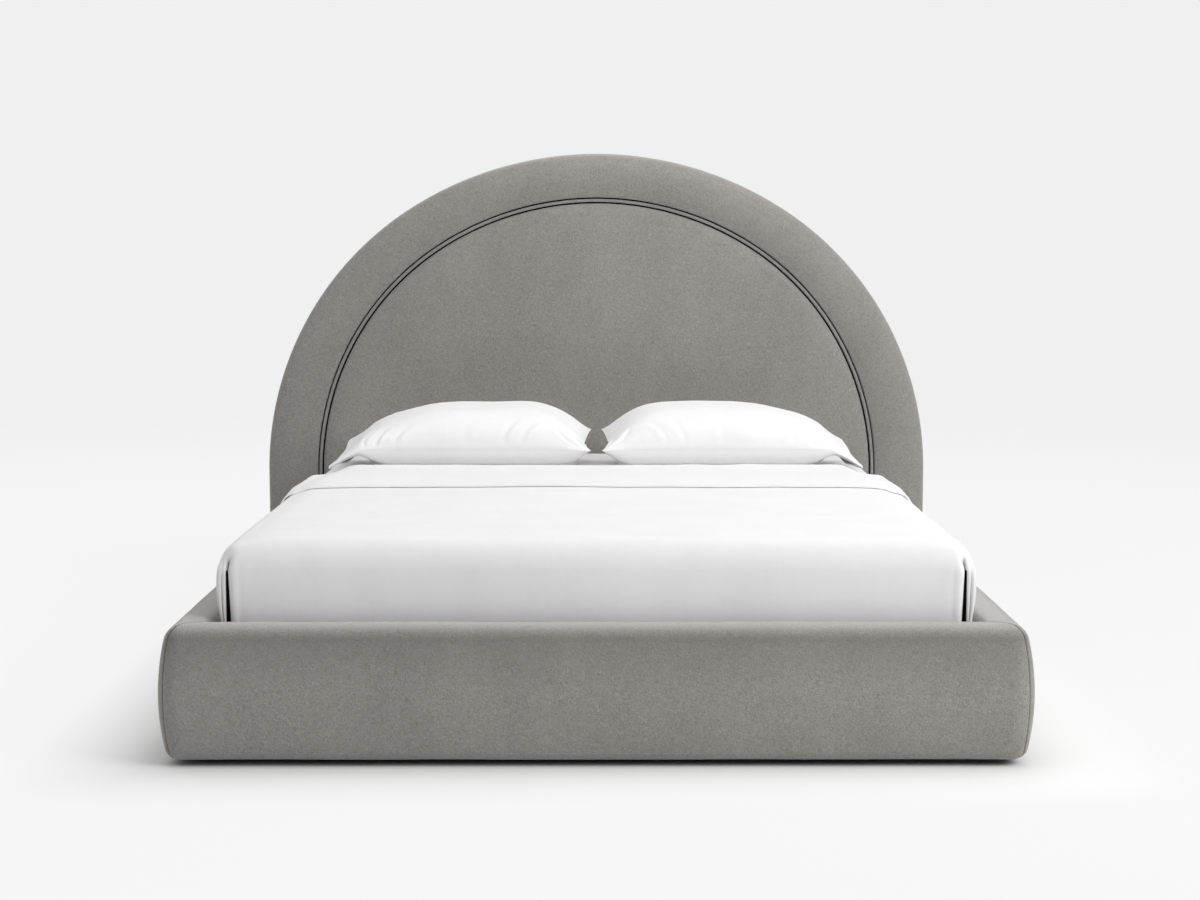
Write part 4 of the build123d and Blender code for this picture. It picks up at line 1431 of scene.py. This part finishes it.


# %% [markdown]
# The cloth under and behind the bed is bonded fibre, not woven: nearly black, with tiny pressed dots. It is
# also put on the piping's strip and under the rails, where it serves as painted shade. The mattress cover
# is a pale quilted knit, and the straps are ribbed webbing.

# %% Dust cloth, ticking and webbing


def dust_cloth():
    bench = Finish("bonded_dust_cloth")
    dots = bench.cells("F1", 420.0)
    fibre = bench.cloudy(700.0, 2.0, 0.6)
    tone = bench.cloudy(6.0)
    share = bench.limited(tone + fibre * 0.3, 0.45, 0.85)
    colour = bench.mixed(share, paint(27, 27, 28), paint(46, 46, 48))
    bench.relief(dots + fibre * 0.5, 0.0004, 0.6)
    return bench.set(Base_Color=colour, Roughness=0.92, Specular_IOR_Level=0.15)


def ticking():
    bench = Finish("knitted_ticking")
    quilting = bench.cells("SMOOTH_F1", 16.0)
    knit = bench.cloudy(500.0)
    share = bench.limited(quilting * 0.8 + knit * 0.3, 0.15, 0.8)
    colour = bench.mixed(share, paint(238, 237, 233), paint(222, 221, 217))
    bench.relief(1.0 - quilting + knit * 0.1, 0.004, 0.5)
    return bench.set(Base_Color=colour, Roughness=0.9, Sheen_Weight=0.1)


def webbing():
    bench = Finish("ribbed_webbing")
    ribs = bench.ridges("Y", 110.0)
    fray = bench.cloudy(300.0, 2.0, 0.6)
    share = bench.limited(ribs * 0.6 + fray * 0.4, 0.2, 0.8)
    colour = bench.mixed(share, paint(176, 172, 163), paint(208, 204, 195))
    bench.relief(ribs, 0.0004, 0.7)
    return bench.set(Base_Color=colour, Roughness=0.9)


# %% [markdown]
# Wood is noise stretched along the grain. The same sum serves the pine boards and the birch slats: only the
# direction of the grain and the two colours change.

# %% Timber


def timber(name, axis, pale, dark, lines):
    bench = Finish(name)
    stretch = [1.0, 1.0, 1.0]
    stretch["xyz".index(axis)] = 0.045
    rings = bench.cloudy(lines, 3.0, 0.7, stretch=stretch)
    pores = bench.cloudy(520.0, 2.0, 0.6, stretch=stretch)
    share = bench.limited(rings * 0.65 + bench.cloudy(6.0, stretch=stretch) * 0.35, 0.38, 0.66)
    grained = bench.mixed(share, pale, dark)
    colour = bench.mixed(bench.limited(pores, 0.55, 0.8) * 0.25, grained, paint(120, 88, 56))
    bench.relief(rings * 0.5 + pores * 0.5, 0.0006, 0.5)
    rough = bench.limited(pores, 0.2, 0.9) * 0.15 + 0.5
    return bench.set(Base_Color=colour, Roughness=rough, Specular_IOR_Level=0.35)


# %% [markdown]
# The metal and plastic under the bed are plain industrial finishes: powder coat with a fine orange-peel,
# bright zinc with faint blotches, and moulded plastic with a dull spark-eroded skin.

# %% Steel, zinc and plastic


def powder_coat():
    bench = Finish("black_powder_coat")
    peel = bench.cloudy(480.0, 2.0, 0.4)
    bench.relief(peel, 0.0003, 0.5)
    colour = bench.mixed(bench.cloudy(20.0), paint(24, 24, 25), paint(36, 36, 37))
    return bench.set(Base_Color=colour, Roughness=peel * 0.15 + 0.36)


def zinc():
    bench = Finish("bright_zinc")
    bloom = bench.cloudy(160.0, 3.0, 0.6)
    colour = bench.mixed(bloom, paint(176, 178, 182), paint(206, 207, 208))
    bench.relief(bench.cloudy(900.0), 0.0001, 0.4)
    return bench.set(Base_Color=colour, Metallic=1.0, Roughness=bloom * 0.25 + 0.24)


def moulded_plastic():
    bench = Finish("moulded_black_plastic")
    scuff = bench.cloudy(40.0, 3.0, 0.6)
    colour = bench.mixed(bench.limited(scuff, 0.4, 0.75), paint(26, 26, 27), paint(44, 44, 45))
    bench.relief(bench.cloudy(1100.0), 0.0002, 0.6)
    return bench.set(Base_Color=colour, Roughness=scuff * 0.2 + 0.42)


# %% [markdown]
# Every new piece takes the finish that its slot names. The frame's own pieces keep their shape and get a
# finish by name, with the grain laid along each board's longest side.

# %% Put the finishes on
pine_pale, pine_dark = paint(222, 192, 148), paint(190, 150, 100)
birch_pale, birch_dark = paint(228, 206, 170), paint(204, 176, 134)
finishes = {
    "upholstery": suede(),
    "white_linen": linen("white_cotton", paint(235, 234, 235), 0.5),
    "pillowcase": linen("pillowcase_cotton", paint(239, 238, 239), 0.6),
    "dust_cloth": dust_cloth(),
    "ticking": ticking(),
    "webbing": webbing(),
    "black_steel": powder_coat(),
    "zinc_fasteners": zinc(),
    "black_plastic": moulded_plastic(),
}
for axis in "xyz":
    finishes["pine_" + axis] = timber("pine_board_" + axis, axis, pine_pale, pine_dark, 55.0)
    finishes["birch_" + axis] = timber("birch_slat_" + axis, axis, birch_pale, birch_dark, 80.0)


tape_edges = (0.03, 0.095)
finish_words = {
    "zinc_fasteners": ("bolts", "screws"),
    "black_steel": ("bracket", "hanger", "leg"),
    "black_plastic": ("feet", "foot_left", "foot_right", "glides"),
}


def finish_of(node_name):
    """The finish of a piece of the frame: by a word in its name, or else wood along its longest side."""
    if not node_name.startswith("rail_"):
        for finish, words in finish_words.items():
            if any(word in node_name for word in words):
                return finish
    low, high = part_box(node_name)
    sides = high - low
    axis = "xyz"[max(range(3), key=lambda index: sides[index])]
    return ("birch_" if node_name.startswith("slat_") else "pine_") + axis


def put_on(piece, material):
    """Gives a piece of the frame its material without touching the frame's own data."""
    if not piece.material_slots:
        piece.data.materials.append(material)
        return
    for slot in piece.material_slots:
        slot.link = "OBJECT"
        slot.material = material


def part_finish(piece, material, chosen):
    """Puts a second material on the faces that are chosen."""
    piece.data.materials.append(material)
    for face in piece.data.polygons:
        if chosen(face):
            face.material_index = 1


def rail_tape_and_shade(face):
    """The tape of black cloth under a rail, at a distance in from the rail's outside: real cloth, and also
    painted shade for the gap beneath.
    """
    from_outside = min(face.center.y - foot_face, rail_outer - abs(face.center.x))
    faces_down = face.center.z < rail_bottom + 0.004 and face.normal.z < -0.9
    return faces_down and tape_edges[0] < from_outside < tape_edges[1]


def slit_shade_faces(face):
    """The inside of the slits of the quilt's corners, painted dark as shade."""
    x, y, z = face.center
    back = y - quilt_front
    return 0.745 < abs(x) < 0.7595 and 0.0085 < back < 0.045 and z < slit_top - 0.004


def groove_shade_faces(face):
    """The strip of cloth that closes the grooves beside the piping, painted black as shade in the grooves.
    """
    return face.center.y > back_face - (pad_front - border_crown - cord_recess - 1.7 * cord_half)


for piece in list(bpy.data.objects):
    if piece.type == "MESH" and piece.get("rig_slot") and piece.name not in nodes:
        piece.data.materials.clear()
        piece.data.materials.append(finishes[piece["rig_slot"]])
# Black cloth under the rails: real cloth, and also painted shade that darkens the gap beneath.
for padding in rail_paddings:
    part_finish(padding, finishes["dust_cloth"], rail_tape_and_shade)
# Painted shade: black cloth on the piping's strip makes the grooves dark.
part_finish(piping, finishes["dust_cloth"], groove_shade_faces)
# Painted shade: the charcoal colour inside the quilt's slits makes them dark.
part_finish(quilt, slit_shade(), slit_shade_faces)
for name, piece in nodes.items():
    put_on(piece, finishes[finish_of(name)])

# %% [markdown]
# The bed stands on a wide pale floor. Near it the floor is real and takes the bed's shadow. Further off the
# camera sees a plain pale tone instead, the same as that of the air behind it, so there is no horizon.

# %% The studio floor
studio_tone = paint(240, 240, 240)
bed_half_size = (("X", 0.9), ("Y", 1.15))
floor_reaches = (0.5, 1.0, 2.0, 4.0, 8.0, 16.0, 40.0)

floor_data = bmesh.new()
turns = [pi * step / 48 for step in range(96)]
floor_rings = [[(reach * cos(turn), reach * sin(turn), 0.0) for turn in turns] for reach in floor_reaches]
floor_data.faces.new(add_grid(floor_data, floor_rings, close_columns=True)[0])
bmesh.ops.recalc_face_normals(floor_data, faces=floor_data.faces)
mesh = bpy.data.meshes.new("studio_floor")
floor_data.to_mesh(mesh)
floor_data.free()
studio = bpy.data.objects.new("studio_floor", mesh)
bpy.context.scene.collection.objects.link(studio)

paper = Finish("pale_floor")
paper_tone = paper.mixed(paper.cloudy(1.5), paint(236, 236, 236), paint(239, 239, 239))
paper.set(Base_Color=paper_tone, Roughness=0.9, Specular_IOR_Level=0.1)
clear = []
for axis, half in bed_half_size:
    outwards = paper.maths("ABSOLUTE", paper.axis(paper.where(), axis)) - half
    clear.append(paper.maths("MAXIMUM", outwards, 0.0))
from_bed = paper.maths("SQRT", clear[0] * clear[0] + clear[1] * clear[1])
glow_tone = paper.mixed(paper.limited(from_bed, 1.2, 6.0), paint(247, 247, 247), studio_tone)
glow = paper.node("ShaderNodeEmission", {}, {"Color": glow_tone, "Strength": 1.0})
plain = paper.limited(from_bed, 0.02, 0.27) * 0.87 + paper.limited(from_bed, 0.3, 2.0) * 0.13
real = Wire(paper, paper.shader.outputs["BSDF"])
paper.show(paper.node("ShaderNodeMixShader", {}, {0: plain * paper.looked_at(), 1: real, 2: glow}))
studio.data.materials.append(paper.holder)
studio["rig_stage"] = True

# %% [markdown]
# Two soft boxes light the bed, one overhead and one from the front right. The air adds a little light, most
# of it from above. The camera stands where the photograph was taken from, at the height of a chest.

# %% Lamps, world and camera
scene = bpy.context.scene


def lamp(name, spot, target, size, power):
    data = bpy.data.lights.new(name, "AREA")
    data.shape = "RECTANGLE"
    data.size, data.size_y = size
    data.energy = power
    holder = bpy.data.objects.new(name, data)
    holder.location = spot
    holder.rotation_euler = (Vector(target) - Vector(spot)).to_track_quat("-Z", "Y").to_euler()
    scene.collection.objects.link(holder)


lamp("soft_box_above", (0.35, 0.05, 3.7), (0.0, 0.6, 0.7), (4.6, 3.6), 58.5)
lamp("soft_box_front_right", (3.5, -2.7, 2.7), (0.0, 0.1, 0.5), (2.8, 2.4), 111.0)

scene.world = bpy.data.worlds.new("studio_air")
air = Bench(scene.world, "ShaderNodeOutputWorld")
height = air.axis(air.node("ShaderNodeTexCoord", {}, {}, "Generated"), "Z")
strength = air.limited(height, 0.0, 0.75, 0.07, 0.7)
dim = air.node("ShaderNodeBackground", {}, {"Color": (1.0, 1.0, 1.0, 1.0), "Strength": strength})
pale = air.node("ShaderNodeBackground", {}, {"Color": studio_tone})
air.show(air.node("ShaderNodeMixShader", {}, {0: air.looked_at(), 1: dim, 2: pale}))

camera_data = bpy.data.cameras.new("camera")
camera_data.lens = 61.94
camera_data.sensor_width = 36.0
camera = bpy.data.objects.new("camera", camera_data)
camera.location = (0.0, -5.1955, 1.0556)
camera.rotation_euler = (pi / 2 - 0.101, 0.0, -0.00174)
scene.collection.objects.link(camera)
scene.camera = camera
scene.view_settings.view_transform = "Standard"

# %% Measure and finish
dressed_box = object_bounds()
boxes = {"cad": [list(corner) for corner in cad_box], "visual": [list(corner) for corner in dressed_box]}
for word, box in boxes.items():
    print(word, [[round(value, 4) for value in corner] for corner in box])
